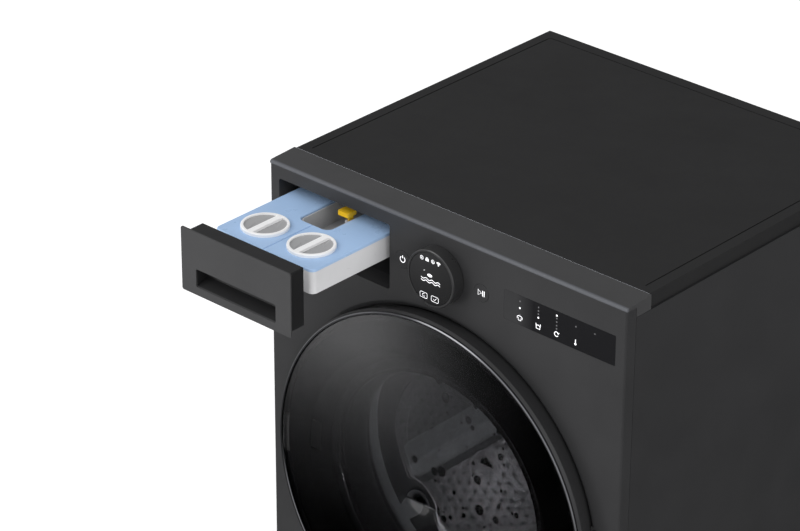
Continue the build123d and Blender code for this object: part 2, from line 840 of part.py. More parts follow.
def option_window():
    """Glossy strip that the option lights shine through."""
    lip = 4.0
    back = panel_wall + 0.2
    pane = rounded(block(window_x0, window_x1, 0, back, window_z0, window_z1), Axis.Y, 1.4)
    flange = block(window_x0 - lip, window_x1 + lip, back, back + 1.4, window_z0 - lip, window_z1 + lip)
    return pane + flange


def control_board():
    """Circuit board behind the controls, with its relays, choke and filter capacitors."""
    top_z = cabinet_height - board_top_drop
    bottom_z = top_z - board_height
    back_y = board_y + board_thickness
    board = block(board_left, board_right, board_y, back_y, bottom_z, top_z)
    part_sizes = (
        (30, 34, 26, 40),
        (80, 28, 18, 26),
        (130, 20, 22, 20),
        (180, 20, 22, 20),
        (230, 44, 30, 36),
        (290, 26, 34, 26),
        (326, 20, 16, 30),
    )
    part_z = bottom_z + 12
    for offset, width, deep, tall in part_sizes:
        x = board_left + offset
        board += block(x, x + width, back_y, back_y + deep, part_z, part_z + tall)
    for x in (board_left + 10, board_right - 10):
        board += rod_y(x, top_z - 8, board_post_radius, 2 * panel_wall, board_y)
    return board


# Door

def door_frame():
    front = -door_ring_front + door_ring_depth
    rim_y = front + 4
    step = door_back_radius - door_rim_radius
    wall = door_wall
    inner = glass_radius - 6
    land = front + 2.4
    ring_seat = front + 0.1
    points = (
        (inner, land),
        (glass_radius + glass_gap, land),
        (glass_radius + glass_gap, ring_seat),
        (door_ring_radius, ring_seat),
        (door_rim_radius, rim_y),
        (door_back_radius, door_back),
        (door_back_radius - wall, door_back),
        (door_rim_radius - wall + step / 8, rim_y + 1.8),
        (inner, rim_y + 1.8),
    )
    frame = turned_outline(points)
    notch_y = hinge_y - hinge_knuckle - 0.3
    notch_x = hinge_x + 14
    return frame - block(-half_width, notch_x, notch_y, door_back + 1, axis_z - notch_z, axis_z + notch_z)


def door_trim_ring():
    """Polished ring round the glass."""
    r0 = door_ring_radius - door_ring_width
    r1 = door_ring_radius
    y0 = -door_ring_front
    y1 = y0 + door_ring_depth
    points = ((r0, y1), (r0, y0 + 1), (r0 + 1, y0), (r1 - 1.4, y0), (r1, y0 + 1.4), (r1, y1))
    return turned_outline(points)


def door_glass():
    """Tinted outer pane, slightly domed."""
    centre = -glass_edge_front - glass_dome
    front = dome_line(glass_radius, centre, glass_dome)
    back = dome_line(glass_radius, centre + glass_thickness, glass_dome)
    edge = Line((glass_radius, -glass_edge_front), (glass_radius, glass_thickness - glass_edge_front))
    core = Line((0, centre), (0, centre + glass_thickness))
    return turned(face_of(front, edge, back, core))


def door_inner_frame():
    """Ring plate that closes the back of the door and holds the bowl."""
    back = door_back
    front = back - inner_frame_thickness
    inner = bowl_mouth_radius + 0.4
    outer = door_back_radius - door_wall - 0.4
    frame = turned_outline(((inner, front), (outer, front), (outer, back), (inner, back)))
    for angle in range(0, 360, 45):
        post_r = glass_radius - 12
        px = post_r * math.cos(math.radians(angle + 22.5))
        pz = post_r * math.sin(math.radians(angle + 22.5))
        frame += rod_y(px, axis_z + pz, 4, -16, front)
    frame -= block(hinge_x - 20, hinge_x + 14, front - 1, back + 1, axis_z - notch_z, axis_z + notch_z)
    half = hook_half + 1
    frame -= block(hook_x - 8, hook_x + 8, front - 1, back + 1, axis_z - half, axis_z + half)
    return frame + rod_z(hook_x, hook_pin_y, hook_pin_radius, axis_z - half - 2, axis_z + half + 2)


def door_bowl():
    """Glass bowl that bulges into the drum's mouth."""
    seat = door_back - inner_frame_thickness
    w = bowl_wall
    mouth = bowl_mouth_radius
    tip = bowl_tip_radius
    round_r = 16.0
    points = (
        (mouth + bowl_flange, seat - w),
        (mouth + bowl_flange, seat),
        (mouth, seat),
        (tip + 2, bowl_tip - round_r),
        (tip - 4, bowl_tip - 5),
        (tip - 14, bowl_tip),
        (0, bowl_tip + 4),
        (0, bowl_tip + 4 - w),
        (tip - 15, bowl_tip - w),
        (tip - 8, bowl_tip - 9),
        (tip + 2 - w, bowl_tip - round_r),
        (mouth - w, seat - w),
    )
    return turned_outline(points)


def door_hinge():
    """Leaf on the door, with the knuckle that turns on the hinge pin."""
    front = door_back - inner_frame_thickness
    z0 = axis_z - hinge_leaf_half
    z1 = axis_z + hinge_leaf_half
    web_x = hinge_x + 16
    leaf = rod_z(hinge_x, hinge_y, hinge_knuckle, z0, z1)
    leaf += block(hinge_x, web_x, hinge_y - 2, hinge_y + 2, z0, z1)
    leaf += block(web_x - 4, web_x, hinge_y - 2, front, z0, z1)
    leaf += block(web_x - 2, web_x + 26, front - 3, front, z0, z1)
    return leaf - rod_z(hinge_x, hinge_y, hinge_pin_radius + turn_gap, z0 - 1, z1 + 1)


def hinge_bracket():
    """Bracket on the cabinet with two arms and the riveted hinge pin."""
    floor_y = recess_floor_y
    near = hinge_leaf_half + hinge_space
    far = near + hinge_arm
    x0 = hinge_x + hinge_arm_offset
    x1 = x0 + hinge_arm_width
    bracket = block(hinge_x - hinge_eye, x1 + 4, floor_y - 3, floor_y, axis_z - far, axis_z + far)
    for side in (-1, 1):
        z0, z1 = sorted((axis_z + side * near, axis_z + side * far))
        bracket += block(x0, x1, hinge_y - hinge_eye, floor_y, z0, z1)
        bracket += block(hinge_x, x1, hinge_y - hinge_eye, hinge_y + hinge_eye, z0, z1)
        bracket += rod_z(hinge_x, hinge_y, hinge_eye, z0, z1)
    return bracket + rod_z(hinge_x, hinge_y, hinge_pin_radius, axis_z - far, axis_z + far)


def door_hook():
    """Latch hook that swings on its pin in the door's inner frame."""
    y = hook_pin_y
    half = hook_half - 1
    hook = rod_z(hook_x, y, hook_barrel, axis_z - half, axis_z + half)
    hook += block(hook_x - 2.5, hook_x + 2.5, y, hook_reach, axis_z - 7, axis_z + 7)
    hook += block(hook_x - 7, hook_x + 2.5, hook_reach - 6, hook_reach, axis_z - 7, axis_z + 7)
    return hook - rod_z(hook_x, y, hook_pin_radius + turn_gap, axis_z - hook_half, axis_z + hook_half)


def door_lock():
    """Interlock behind the recess floor that receives the hook."""
    y0 = recess_floor_y + panel_wall
    y1 = y0 + lock_depth
    x0, x1 = lock_slot
    lock = block(x0 - 4, x1 + 3, y0, y1, axis_z - 38, axis_z + 38)
    lock -= block(x0, x1, y0 - 1, y1 - 3, axis_z - hook_half, axis_z + hook_half)
    return lock


# Tub, drum and drive

def door_gasket():
    """Rubber bellows from the panel's port to the neck of the tub."""
    start = recess_floor_y + panel_wall
    outer = port_radius - 0.4
    neck = neck_radius + 0.3
    path = [
        (outer, start - 1),
        (outer, start + 16),
        (gasket_inner, start + 26),
        (gasket_inner, start + 42),
        (neck + gasket_wall, neck_front - 6),
        (neck + gasket_wall, neck_front + 14),
    ]
    shifted = [(r - gasket_wall, y + gasket_wall * 0.9) for r, y in path]
    return turned_outline(path + shifted[::-1])


def tub_front():
    """Front half of the tub with its neck, sump outlet, filler and damper lugs."""
    y0 = tub_front_y
    w = tub_wall
    split = tub_split_y - 0.25
    flange = tub_outer + tub_flange
    points = (
        (neck_radius - w, neck_front),
        (neck_radius, neck_front),
        (neck_radius, y0),
        (tub_outer - 8, y0),
        (tub_outer, y0 + 8),
        (tub_outer, split - 6),
        (flange, split - 6),
        (flange, split),
        (tub_inner, split),
        (tub_inner, y0 + w + 4),
        (tub_inner - 4, y0 + w),
        (neck_radius - w, y0 + w),
    )
    tub = turned_outline(points)
    low = sump_hose_top() - hose_grip
    high = fill_hose_bottom() + hose_grip
    bore = rod_y(0, axis_z, tub_outer - w / 2, y0 + w, split)
    tub += rod_z(sump_x, sump_y, sump_radius, low, under_tub(sump_x) + 30) - bore
    tub -= rod_z(sump_x, sump_y, sump_radius - 3, low - 1, under_tub(sump_x) + 40)
    tub += rod_z(fill_x, fill_y, fill_radius, over_tub(fill_x) - 40, high) - bore
    tub -= rod_z(fill_x, fill_y, fill_radius - 3, over_tub(fill_x) - 60, high + 1)
    return tub + damper_lugs(y0, tub_split_y, bore)


def damper_lugs(y0, y1, bore):
    """Blocks under the tub for the dampers that stand between y0 and y1."""
    lugs = Part()
    for x, y in damper_spots:
        if y0 < y < y1:
            z = under_tub(x)
            lugs += block(x - 12, x + 12, y - 12, y + 12, z - damper_lug, z + 40) - bore
    return lugs


def tub_rear():
    """Rear half of the tub with the bearing hub, ribs, spring ears and heater well."""
    w = tub_wall
    split = tub_split_y + 0.25
    back = tub_back_y
    front_seat = back - w + 6
    front_end = front_seat + front_bearing_width
    rear_seat = hub_back - rear_bearing_width
    front_bore = front_bearing_radius + seat_gap
    rear_bore = rear_bearing_radius + seat_gap
    flange = tub_outer + tub_flange
    points = (
        (tub_inner, split),
        (flange, split),
        (flange, split + 6),
        (tub_outer, split + 6),
        (tub_outer, back - 8),
        (tub_outer - 8, back),
        (hub_radius, back),
        (hub_radius, hub_back),
        (rear_bore, hub_back),
        (rear_bore, rear_seat),
        (shaft_radius + 6, rear_seat),
        (shaft_radius + 6, front_end),
        (front_bore, front_end),
        (front_bore, front_seat),
        (shaft_radius + 3, front_seat),
        (shaft_radius + 3, back - w),
        (tub_inner - 4, back - w),
        (tub_inner, back - w - 4),
    )
    tub = turned_outline(points)
    bore = rod_y(0, axis_z, tub_outer - w / 2, split, back - w)
    for side in (-1, 1):
        x0, x1 = sorted((side * (spring_x - 26), side * (spring_x + 6)))
        ear = block(x0, x1, spring_y - 6, spring_y + 6, over_tub(spring_x - 26) - 50, spring_z0)
        tub += ear - bore
    for x in (-heater_half, heater_half):
        tub -= rod_y(x, heater_z, heater_rod + turn_gap, back - 20, back + 1)
    rib_in = stator_outer + 14
    for k in range(12):
        rib = block(rib_in, tub_outer - 12, back - 1, back + 12, axis_z - 2, axis_z + 2)
        tub += Pos(0, 0, axis_z) * Rot(0, 30 * k + 15, 0) * Pos(0, 0, -axis_z) * rib
    return tub + damper_lugs(tub_split_y, back, bore)


def weight_ring(start, sweep):
    """Concrete segment bolted to the front of the tub."""
    r0 = weight_inner
    r1 = tub_outer + 4
    y1 = tub_front_y - seam
    y0 = y1 - weight_depth
    face = face_of(Polyline((r0, y0), (r1, y0), (r1, y1), (r0, y1), close=True))
    piece = revolve(face, Axis.Y, sweep)
    return Pos(0, 0, axis_z) * Rot(0, start, 0) * piece


def counterweights():
    return weight_ring(-155, 130), weight_ring(25, 130)


def drum():
    """Stainless drum: rolled wall, dished front with its mouth, and closed back."""
    w = drum_wall
    outer = drum_inner + w
    y0 = drum_front_y
    y1 = drum_back_y
    points = (
        (drum_mouth, y0 + 6),
        (drum_mouth + 1, y0 + 1),
        (drum_mouth + 6, y0 - 1),
        (outer - 8, y0),
        (outer, y0 + 8),
        (outer, y1),
        (0, y1),
        (0, y1 - w),
        (drum_inner, y1 - w),
        (drum_inner, y0 + 8 + w),
        (drum_inner - 7, y0 + w),
        (drum_mouth + 6, y0 + w - 1),
        (drum_mouth + w, y0 + 6),
    )
    return turned_outline(points)


def lifters():
    """Three paddles along the inside of the drum."""
    base = drum_inner + 4
    top = drum_inner - lifter_height
    foot_half = lifter_base / 2
    top_half = lifter_top / 2
    outline = [(-foot_half, base), (-top_half, top), (top_half, top), (foot_half, base)]
    bar = rounded(prism_y(outline, lifter_y0, lifter_y1), Axis.Y, 8)
    bar &= rod_y(0, 0, drum_inner - 0.05, lifter_y0, lifter_y1)
    return [Pos(0, 0, axis_z) * Rot(0, 120 * k, 0) * bar for k in range(3)]


def spider_and_shaft():
    """Cast three armed spider with the drive shaft pressed into it."""
    y0 = drum_back_y + 0.1
    y1 = y0 + 16
    spider = rod_y(0, axis_z, 34, y0, y1 + 4)
    for k in range(3):
        arm = prism_y([(-16, 0), (-9, drum_inner - 10), (9, drum_inner - 10), (16, 0)], y0, y1)
        spider += Pos(0, 0, axis_z) * Rot(0, 120 * k, 0) * arm
    return spider + rod_y(0, axis_z, shaft_radius, y1, rotor_disc_y + 22)


def bearings():
    front_seat = tub_back_y - tub_wall + 6
    bore = shaft_radius + turn_gap
    front = rod_y(0, axis_z, front_bearing_radius, front_seat, front_seat + front_bearing_width)
    rear = rod_y(0, axis_z, rear_bearing_radius, hub_back - rear_bearing_width, hub_back)
    shaft = rod_y(0, axis_z, bore, front_seat - 1, hub_back + 1)
    return front - shaft, rear - shaft


def motor_stator():
    """Laminated ring with its teeth, bolted to the back of the tub."""
    y0 = stator_y
    y1 = y0 + stator_thickness
    core = rod_y(0, axis_z, 100, y0, y1) - rod_y(0, axis_z, 84, y0 - 1, y1 + 1)
    tooth = block(96, stator_outer - 3, y0 + 2, y1 - 2, axis_z - 3.2, axis_z + 3.2)
    tooth += block(stator_outer - 4, stator_outer - 0.6, y0 + 2, y1 - 2, axis_z - 7, axis_z + 7)
    for k in range(stator_teeth):
        turn = Pos(0, 0, axis_z) * Rot(0, 360 * k / stator_teeth, 0) * Pos(0, 0, -axis_z)
        core += turn * tooth
    mount = rod_y(0, axis_z, 86, tub_back_y + 0.1, y0 + 8)
    return core + mount - rod_y(0, axis_z, stator_inner, tub_back_y - 1, y0 + 9)


def motor_rotor():
    """Steel cup with the magnets inside its rim, splined to the shaft."""
    disc = rotor_disc_y
    w = rotor_wall
    inner = stator_outer + air_gap
    front = stator_y - 2
    bore = shaft_radius + seat_gap
    boss = shaft_radius + 11
    points = (
        (bore, disc - 2),
        (boss, disc - 2),
        (boss, disc),
        (inner, disc),
        (inner, front),
        (inner + 9, front),
        (inner + 9, disc + w),
        (boss + 2, disc + w),
        (boss - 2, disc + 14),
        (bore, disc + 14),
    )
    rotor = turned_outline(points)
    for k in range(9):
        hole = rod_y(78, axis_z, 11, disc - 1, disc + w + 1)
        rotor -= Pos(0, 0, axis_z) * Rot(0, 40 * k, 0) * Pos(0, 0, -axis_z) * hole
    return rotor


# Suspension

def suspension_springs():
    """Two coil springs, as plain sleeves of the coil's outer and inner size."""
    gap = 0.3
    springs = []
    for side in (-1, 1):
        x = side * spring_x
        sleeve = rod_z(x, spring_y, spring_radius, spring_z0 + gap, spring_z1 - gap)
        springs.append(sleeve - rod_z(x, spring_y, spring_radius - spring_wire, spring_z0, spring_z1))
    return springs


def damper_cylinders():
    cylinders = []
    for x, y in damper_spots:
        z0 = foot_height + 2.1
        body = rod_z(x, y, damper_radius, z0, damper_top)
        body -= rod_z(x, y, damper_bore, z0 + 12, damper_top - 6)
        body -= rod_z(x, y, damper_rod_radius + turn_gap, damper_top - 10, damper_top + 1)
        cylinders.append(body)
    return cylinders


def damper_rods():
    rods = []
    for x, y in damper_spots:
        rod = rod_z(x, y, damper_rod_radius, damper_piston_z, under_tub(x) - damper_lug - 0.1)
        rod += rod_z(x, y, damper_bore - turn_gap, damper_piston_z, damper_piston_z + 14)
        rods.append(rod)
    return rods


# Water

def drain_pump():
    """Filter chamber, motor and spouts in one housing that stands on the base."""
    chamber_r = filter_radius + filter_gap + pump_wall
    x, z = filter_x, filter_z
    pump = rod_y(x, z, chamber_r, pump_front, pump_back)
    pump += rod_y(x, z, chamber_r + 5, pump_back, pump_back + 45)
    pump += rod_x(sump_y, z, sump_radius - 2, x, sump_x)
    pump += rod_z(sump_x, sump_y, sump_radius, z - 20, pump_spout_top)
    pump += rod_y(drain_x, drain_z, drain_spout_radius, pump_back - 8, pump_back + 62)
    pump += block(drain_x - 14, x, pump_back - 20, pump_back, drain_z - 14, drain_z + 14)
    stand_y = foot_inset_y + foot_boss + 6
    pump += block(x - 24, x + 24, stand_y, pump_back, foot_height + 2.1, z)
    pump -= rod_y(x, z, filter_radius + filter_gap, pump_front - 1, pump_back - 12)
    pump -= rod_z(sump_x, sump_y, sump_radius - 3, z - 14, pump_spout_top + 1)
    pump -= rod_x(sump_y, z, sump_radius - 8, x, sump_x)
    return pump


def pump_filter():
    """Screw in lint filter with its grip, behind the hatch."""
    x, z = filter_x, filter_z
    body = rod_y(x, z, filter_radius, pump_front, pump_back - 30)
    body -= rod_y(x, z, filter_radius - 3, pump_front + 6, pump_back)
    for k in range(4):
        window = block(x - 6, x + 6, pump_front + 14, pump_back - 40, z + 10, z + filter_radius + 5)
        body -= Pos(x, 0, z) * Rot(0, 90 * k, 0) * Pos(-x, 0, -z) * window
    cap_front = pump_front - 6
    cap = rod_y(x, z, filter_radius, cap_front, pump_front)
    cap += rod_y(x, z, filter_radius + 4, cap_front, pump_front - 0.4)
    grip = block(x - 22, x + 22, cap_front - 14, cap_front, z - 4, z + 4)
    return body + cap + rounded(grip, Axis.Y, 3)


def sleeve_hose(x, y, radius, z0, z1):
    """Straight rubber bellows pushed over two spouts."""
    inner = radius + hose_gap
    return rod_z(x, y, inner + hose_wall, z0, z1) - rod_z(x, y, inner, z0 - 1, z1 + 1)


def sump_hose_top():
    return under_tub(inner_side(sump_x, sump_radius)) - 3


def fill_hose_bottom():
    return over_tub(inner_side(fill_x, fill_radius)) + 3


def sump_hose():
    return sleeve_hose(sump_x, sump_y, sump_radius, pump_spout_top - hose_grip, sump_hose_top())


def fill_hose():
    top = slot[2] - housing_drop
    return sleeve_hose(fill_x, fill_y, fill_radius, fill_hose_bottom(), top - 4)


def drain_hose():
    """Hose from the pump to the outlet at the back."""
    inner = drain_spout_radius + hose_gap
    y0 = pump_back + 47
    y1 = cabinet_depth - 12
    hose = rod_y(drain_x, drain_z, inner + hose_wall, y0, y1)
    return hose - rod_y(drain_x, drain_z, inner, y0 - 1, y1 + 1)


def drain_outlet():
    """Bulkhead fitting that the outlet hose is clamped to."""
    bore = drain_spout_radius - 2.5
    y1 = cabinet_depth + port_reach
    collar_end = cabinet_depth + port_shoulder
    fitting = rod_y(drain_x, drain_z, drain_spout_radius, cabinet_depth - 40, cabinet_depth + 1)
    fitting += rod_y(drain_x, drain_z, drain_radius + port_step_out, cabinet_depth, collar_end)
    fitting += rod_y(drain_x, drain_z, drain_radius, collar_end, y1)
    return fitting - rod_y(drain_x, drain_z, bore, cabinet_depth - 41, y1 + 1)


def inlet_valve():
    """Twin water valve: two threaded inlets, their coils and one outlet spout."""
    x0, x1 = inlet_spots
    y1 = rear_y - 0.5
    body = block(x0 - 17, x1 + 17, y1 - 34, y1, inlet_z - 17, inlet_z + 17)
    body = rounded(body, Axis.Y, 4)
    for x in inlet_spots:
        collar = inlet_radius + port_step_out
        body += rod_y(x, inlet_z, collar, y1 - 1, cabinet_depth + port_shoulder)
        body += rod_y(x, inlet_z, inlet_radius, cabinet_depth, cabinet_depth + port_reach)
        body += rod_z(x, y1 - 17, 12, inlet_z, inlet_z + 42)
    body += rod_y(valve_x, inlet_z, valve_spout_radius, y1 - 56, y1 - 30)
    for x in inlet_spots:
        body -= rod_y(x, inlet_z, inlet_bore, y1 - 10, cabinet_depth + port_reach + 1)
    return body


def valve_hose():
    """Hose from the valve to the back of the drawer housing."""
    y0 = housing_y1 + 0.3
    y1 = rear_y - 0.5 - 42
    bore = rod_y(valve_x, inlet_z, valve_spout_radius + hose_gap, y0 + 3, y1 + 1)
    return rod_y(valve_x, inlet_z, valve_hose_radius, y0, y1) - bore


def cord_gland():
    """Snap in bush that the mains lead passes through."""
    r = cord_gland_radius
    front = rear_y - cord_gland_in
    back = cabinet_depth + cord_gland_out
    points = (
        (cord_bore, front),
        (r - 2.5, front),
        (r - 2.5, rear_y - 0.3),
        (r - 2, rear_y),
        (r - 2, cabinet_depth),
        (r + 2, cabinet_depth + 0.2),
        (r + 2, cabinet_depth + 3),
        (r - 1, back),
        (cord_bore, back),
    )
    return turned_outline(points, cord_x, cord_z)


def heater():
    """Two legged heating rod under the drum, with its flange outside the tub's rear wall."""
    x = heater_half
    z = heater_z
    y1 = tub_back_y + 3
    legs = rod_y(-x, z, heater_rod, heater_y0, y1) + rod_y(x, z, heater_rod, heater_y0, y1)
    legs += rod_x(heater_y0, z, heater_rod, -x - heater_rod, x + heater_rod)
    return legs + block(-x - 10, x + 10, tub_back_y + 0.1, tub_back_y + 4, z - 8, z + 10)


def main():
    os.makedirs("parts", exist_ok=True)
    write_node("front_panel", front_panel())
    write_node("left_side_panel", side_panel(-1))
    write_node("right_side_panel", side_panel(1))
    write_node("rear_panel", rear_panel())
    write_node("rear_cover", rear_cover())
    write_node("top_cap", top_cap())
    write_node("top_panel", top_panel())
    write_node("base_frame", base_frame())
    write_node("hatch_cover", hatch_cover())
    names = ("front_left", "front_right", "rear_left", "rear_right")
    for name, spot in zip(names, foot_spots()):
        write_node(f"foot_{name}", foot(*spot))
    write_node("dispenser_housing", dispenser_housing())
    write_node("drawer_front", drawer_front())
    write_node("drawer_tray", drawer_tray())
    write_node("manual_cup", manual_cup())
    write_node("release_tab", release_tab())
    for name, side in (("left", -1), ("right", 1)):
        write_node(f"{name}_tank_lid", tank_lid(side))
        write_node(f"{name}_tank_cap", tank_cap(side))
    write_node("dial_display", dial_display())
    write_node("dial_ring", dial_ring())
    write_node("power_button", push_button(power_x))
    write_node("start_button", push_button(start_x))
    write_node("option_window", option_window())
    write_node("control_board", control_board())
    write_node("door_frame", door_frame())
    write_node("door_trim_ring", door_trim_ring())
    write_node("door_glass", door_glass())
    write_node("door_inner_frame", door_inner_frame())
    write_node("door_bowl", door_bowl())
    write_node("door_hinge", door_hinge())
    write_node("hinge_bracket", hinge_bracket())
    write_node("door_hook", door_hook())
    write_node("door_lock", door_lock())
    write_node("door_gasket", door_gasket())
    write_node("tub_front", tub_front())
    write_node("tub_rear", tub_rear())
    write_node("counterweights", *counterweights())
    write_node("drum", drum())
    write_node("lifters", *lifters())
    write_node("spider_and_shaft", spider_and_shaft())
    write_node("bearings", *bearings())
    write_node("motor_stator", motor_stator())
    write_node("motor_rotor", motor_rotor())
    write_node("suspension_springs", *suspension_springs())
    write_node("damper_cylinders", *damper_cylinders())
    write_node("damper_rods", *damper_rods())
    write_node("drain_pump", drain_pump())
    write_node("pump_filter", pump_filter())
    write_node("sump_hose", sump_hose())
    write_node("fill_hose", fill_hose())
    write_node("drain_hose", drain_hose())
    write_node("drain_outlet", drain_outlet())
    write_node("inlet_valve", inlet_valve())
    write_node("valve_hose", valve_hose())
    write_node("cord_gland", cord_gland())
    write_node("heater", heater())


main()
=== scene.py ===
import json
import math
import random

import bmesh
import bpy
from mathutils import Matrix, Vector


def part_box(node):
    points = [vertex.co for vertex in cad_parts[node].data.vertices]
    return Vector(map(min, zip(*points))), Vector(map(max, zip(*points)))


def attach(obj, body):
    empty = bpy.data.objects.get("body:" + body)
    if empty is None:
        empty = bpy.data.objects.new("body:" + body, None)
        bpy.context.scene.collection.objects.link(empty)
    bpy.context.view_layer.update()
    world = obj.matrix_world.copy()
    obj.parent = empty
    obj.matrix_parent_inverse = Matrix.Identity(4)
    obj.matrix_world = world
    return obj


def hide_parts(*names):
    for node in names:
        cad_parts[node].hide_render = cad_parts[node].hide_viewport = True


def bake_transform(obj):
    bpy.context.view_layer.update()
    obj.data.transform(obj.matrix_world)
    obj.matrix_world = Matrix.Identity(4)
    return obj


# Front loading washing machine. Its shapes are laid out in millimetres and scaled once, in solid().
# +X points to the right, +Y to the back and +Z up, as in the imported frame.

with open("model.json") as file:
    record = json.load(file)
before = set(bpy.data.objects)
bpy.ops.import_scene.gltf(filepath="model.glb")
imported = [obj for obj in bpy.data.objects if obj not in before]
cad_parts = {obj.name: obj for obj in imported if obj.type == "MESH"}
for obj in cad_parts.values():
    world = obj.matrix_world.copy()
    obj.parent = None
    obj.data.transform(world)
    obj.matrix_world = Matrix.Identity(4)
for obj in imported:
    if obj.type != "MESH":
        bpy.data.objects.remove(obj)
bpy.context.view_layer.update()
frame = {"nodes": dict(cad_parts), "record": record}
MM = 0.001
SEED = 7


def spot(node):
    """Lowest and highest corner of a CAD node, in millimetres."""
    low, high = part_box(node)
    return low / MM, high / MM


# ---------------------------------------------------------------- materials

PATTERN_LOW = 0.3        # a noise pattern lies mostly between these
PATTERN_HIGH = 0.7
WAVE_PERIOD = 0.314      # period of the wave pattern at scale 1
MIX_FACTOR, MIX_A, MIX_B, MIX_RESULT = 0, 6, 7, 2        # the Mix node's sockets for colours


class Finish:
    """One procedural material. Its patterns lie in the object's own space, with sizes in millimetres."""

    def __init__(self, name, colour, roughness, metallic=0.0, specular=0.5, **sockets):
        self.material = bpy.data.materials.new(name)
        self.material.use_nodes = True
        self.tree = self.material.node_tree
        self.shader = self.tree.nodes["Principled BSDF"]
        self.shader.inputs["Base Color"].default_value = (*colour, 1)
        self.shader.inputs["Roughness"].default_value = roughness
        self.shader.inputs["Metallic"].default_value = metallic
        self.shader.inputs["Specular IOR Level"].default_value = specular
        for socket, value in sockets.items():
            self.shader.inputs[socket.replace("_", " ")].default_value = value
        self.place = self.tree.nodes.new("ShaderNodeTexCoord").outputs["Object"]
        self.colour = colour
        self.top_bump = None

    def noise(self, size, detail=3.0, stretch=(1, 1, 1), contrast=0.5):
        """Noise with features of about the given size in millimetres."""
        mapping = self.tree.nodes.new("ShaderNodeMapping")
        mapping.inputs["Scale"].default_value = stretch
        self.tree.links.new(self.place, mapping.inputs["Vector"])
        node = self.tree.nodes.new("ShaderNodeTexNoise")
        node.inputs["Scale"].default_value = 1 / (size * MM)
        node.inputs["Detail"].default_value = detail
        node.inputs["Roughness"].default_value = contrast
        self.tree.links.new(mapping.outputs["Vector"], node.inputs["Vector"])
        return node.outputs["Fac"]

    def cells(self, size):
        """Distance to the nearest cell centre, for pebbled and cast surfaces."""
        node = self.tree.nodes.new("ShaderNodeTexVoronoi")
        node.inputs["Scale"].default_value = 1 / (size * MM)
        self.tree.links.new(self.place, node.inputs["Vector"])
        return node.outputs["Distance"]

    def bands(self, size, direction, wobble):
        """Bands of about the given width across a direction, more or less wavy."""
        node = self.tree.nodes.new("ShaderNodeTexWave")
        node.bands_direction = direction
        node.inputs["Scale"].default_value = WAVE_PERIOD / (size * MM)
        node.inputs["Distortion"].default_value = wobble
        self.tree.links.new(self.place, node.inputs["Vector"])
        return node.outputs["Fac"]

    def along(self, axis, start, end):
        """0 to 1 from one place to another along an axis, in millimetres."""
        parts = self.tree.nodes.new("ShaderNodeSeparateXYZ")
        self.tree.links.new(self.place, parts.inputs["Vector"])
        return self.spread(parts.outputs[axis], 0, 1, start * MM, end * MM)

    def spread(self, source, low, high, start=PATTERN_LOW, end=PATTERN_HIGH):
        """Maps a pattern's values from start to end onto low to high."""
        node = self.tree.nodes.new("ShaderNodeMapRange")
        for socket, value in (("From Min", start), ("From Max", end), ("To Min", low), ("To Max", high)):
            node.inputs[socket].default_value = value
        self.tree.links.new(source, node.inputs["Value"])
        return node.outputs["Result"]

    def tint(self, source, dark, light, start=PATTERN_LOW, end=PATTERN_HIGH):
        """Colour that runs from dark to light times the base colour with the pattern."""
        mix = self.tree.nodes.new("ShaderNodeMix")
        mix.data_type = "RGBA"
        mix.inputs[MIX_A].default_value = (*[c * dark for c in self.colour], 1)
        mix.inputs[MIX_B].default_value = (*[min(1, c * light) for c in self.colour], 1)
        self.tree.links.new(self.spread(source, 0, 1, start, end), mix.inputs[MIX_FACTOR])
        self.tree.links.new(mix.outputs[MIX_RESULT], self.shader.inputs["Base Color"])
        return self

    def stain(self, source, colour, share, start=0.55, end=0.75):
        """Lays another colour over what is there, where the pattern is high."""
        under = self.shader.inputs["Base Color"].links[0].from_socket
        mix = self.tree.nodes.new("ShaderNodeMix")
        mix.data_type = "RGBA"
        mix.inputs[MIX_B].default_value = (*colour, 1)
        self.tree.links.new(under, mix.inputs[MIX_A])
        self.tree.links.new(self.spread(source, 0, share, start, end), mix.inputs[MIX_FACTOR])
        self.tree.links.new(mix.outputs[MIX_RESULT], self.shader.inputs["Base Color"])
        return self

    def rough(self, source, low, high, start=PATTERN_LOW, end=PATTERN_HIGH):
        """Roughness from low to high with the pattern."""
        self.tree.links.new(self.spread(source, low, high, start, end), self.shader.inputs["Roughness"])
        return self

    def bump(self, source, height, strength=1.0):
        """Bump of that height in millimetres, on top of any bump already there."""
        node = self.tree.nodes.new("ShaderNodeBump")
        node.inputs["Strength"].default_value = strength
        node.inputs["Distance"].default_value = height * MM
        self.tree.links.new(source, node.inputs["Height"])
        if self.top_bump is not None:
            self.tree.links.new(self.top_bump, node.inputs["Normal"])
        self.top_bump = node.outputs["Normal"]
        self.tree.links.new(self.top_bump, self.shader.inputs["Normal"])
        return self


def paler(colour, times, plus):
    return [min(1, c * times + plus) for c in colour]


def moulded(name, colour, roughness, grain=0.6, height=0.02, specular=0.4):
    """Injection moulded plastic: fine spark grain, faint flow marks and handling marks."""
    f = Finish(name, colour, roughness, specular=specular)
    f.tint(f.noise(90, 4), 0.93, 1.06)
    f.stain(f.noise(2.2, 5, contrast=0.7), paler(colour, 1.3, 0.01), 0.14)
    f.rough(f.noise(35, 5, contrast=0.6), roughness - 0.05, roughness + 0.07)
    return f.bump(f.cells(grain), height, 0.35).bump(f.noise(140, 2), 0.25, 0.12)


def painted(name, colour, roughness, specular):
    """Powder coat on pressed sheet: orange peel, slow waves in the sheet and a little dust."""
    f = Finish(name, colour, roughness, specular=specular)
    f.tint(f.noise(120, 3), 0.94, 1.05)
    f.stain(f.noise(1.3, 4, contrast=0.7), paler(colour, 1.35, 0.01), 0.12)
    f.rough(f.noise(60, 6, contrast=0.6), roughness - 0.05, roughness + 0.08)
    return f.bump(f.noise(1.1, 2), 0.03, 0.35).bump(f.noise(260, 1), 0.9, 0.1)


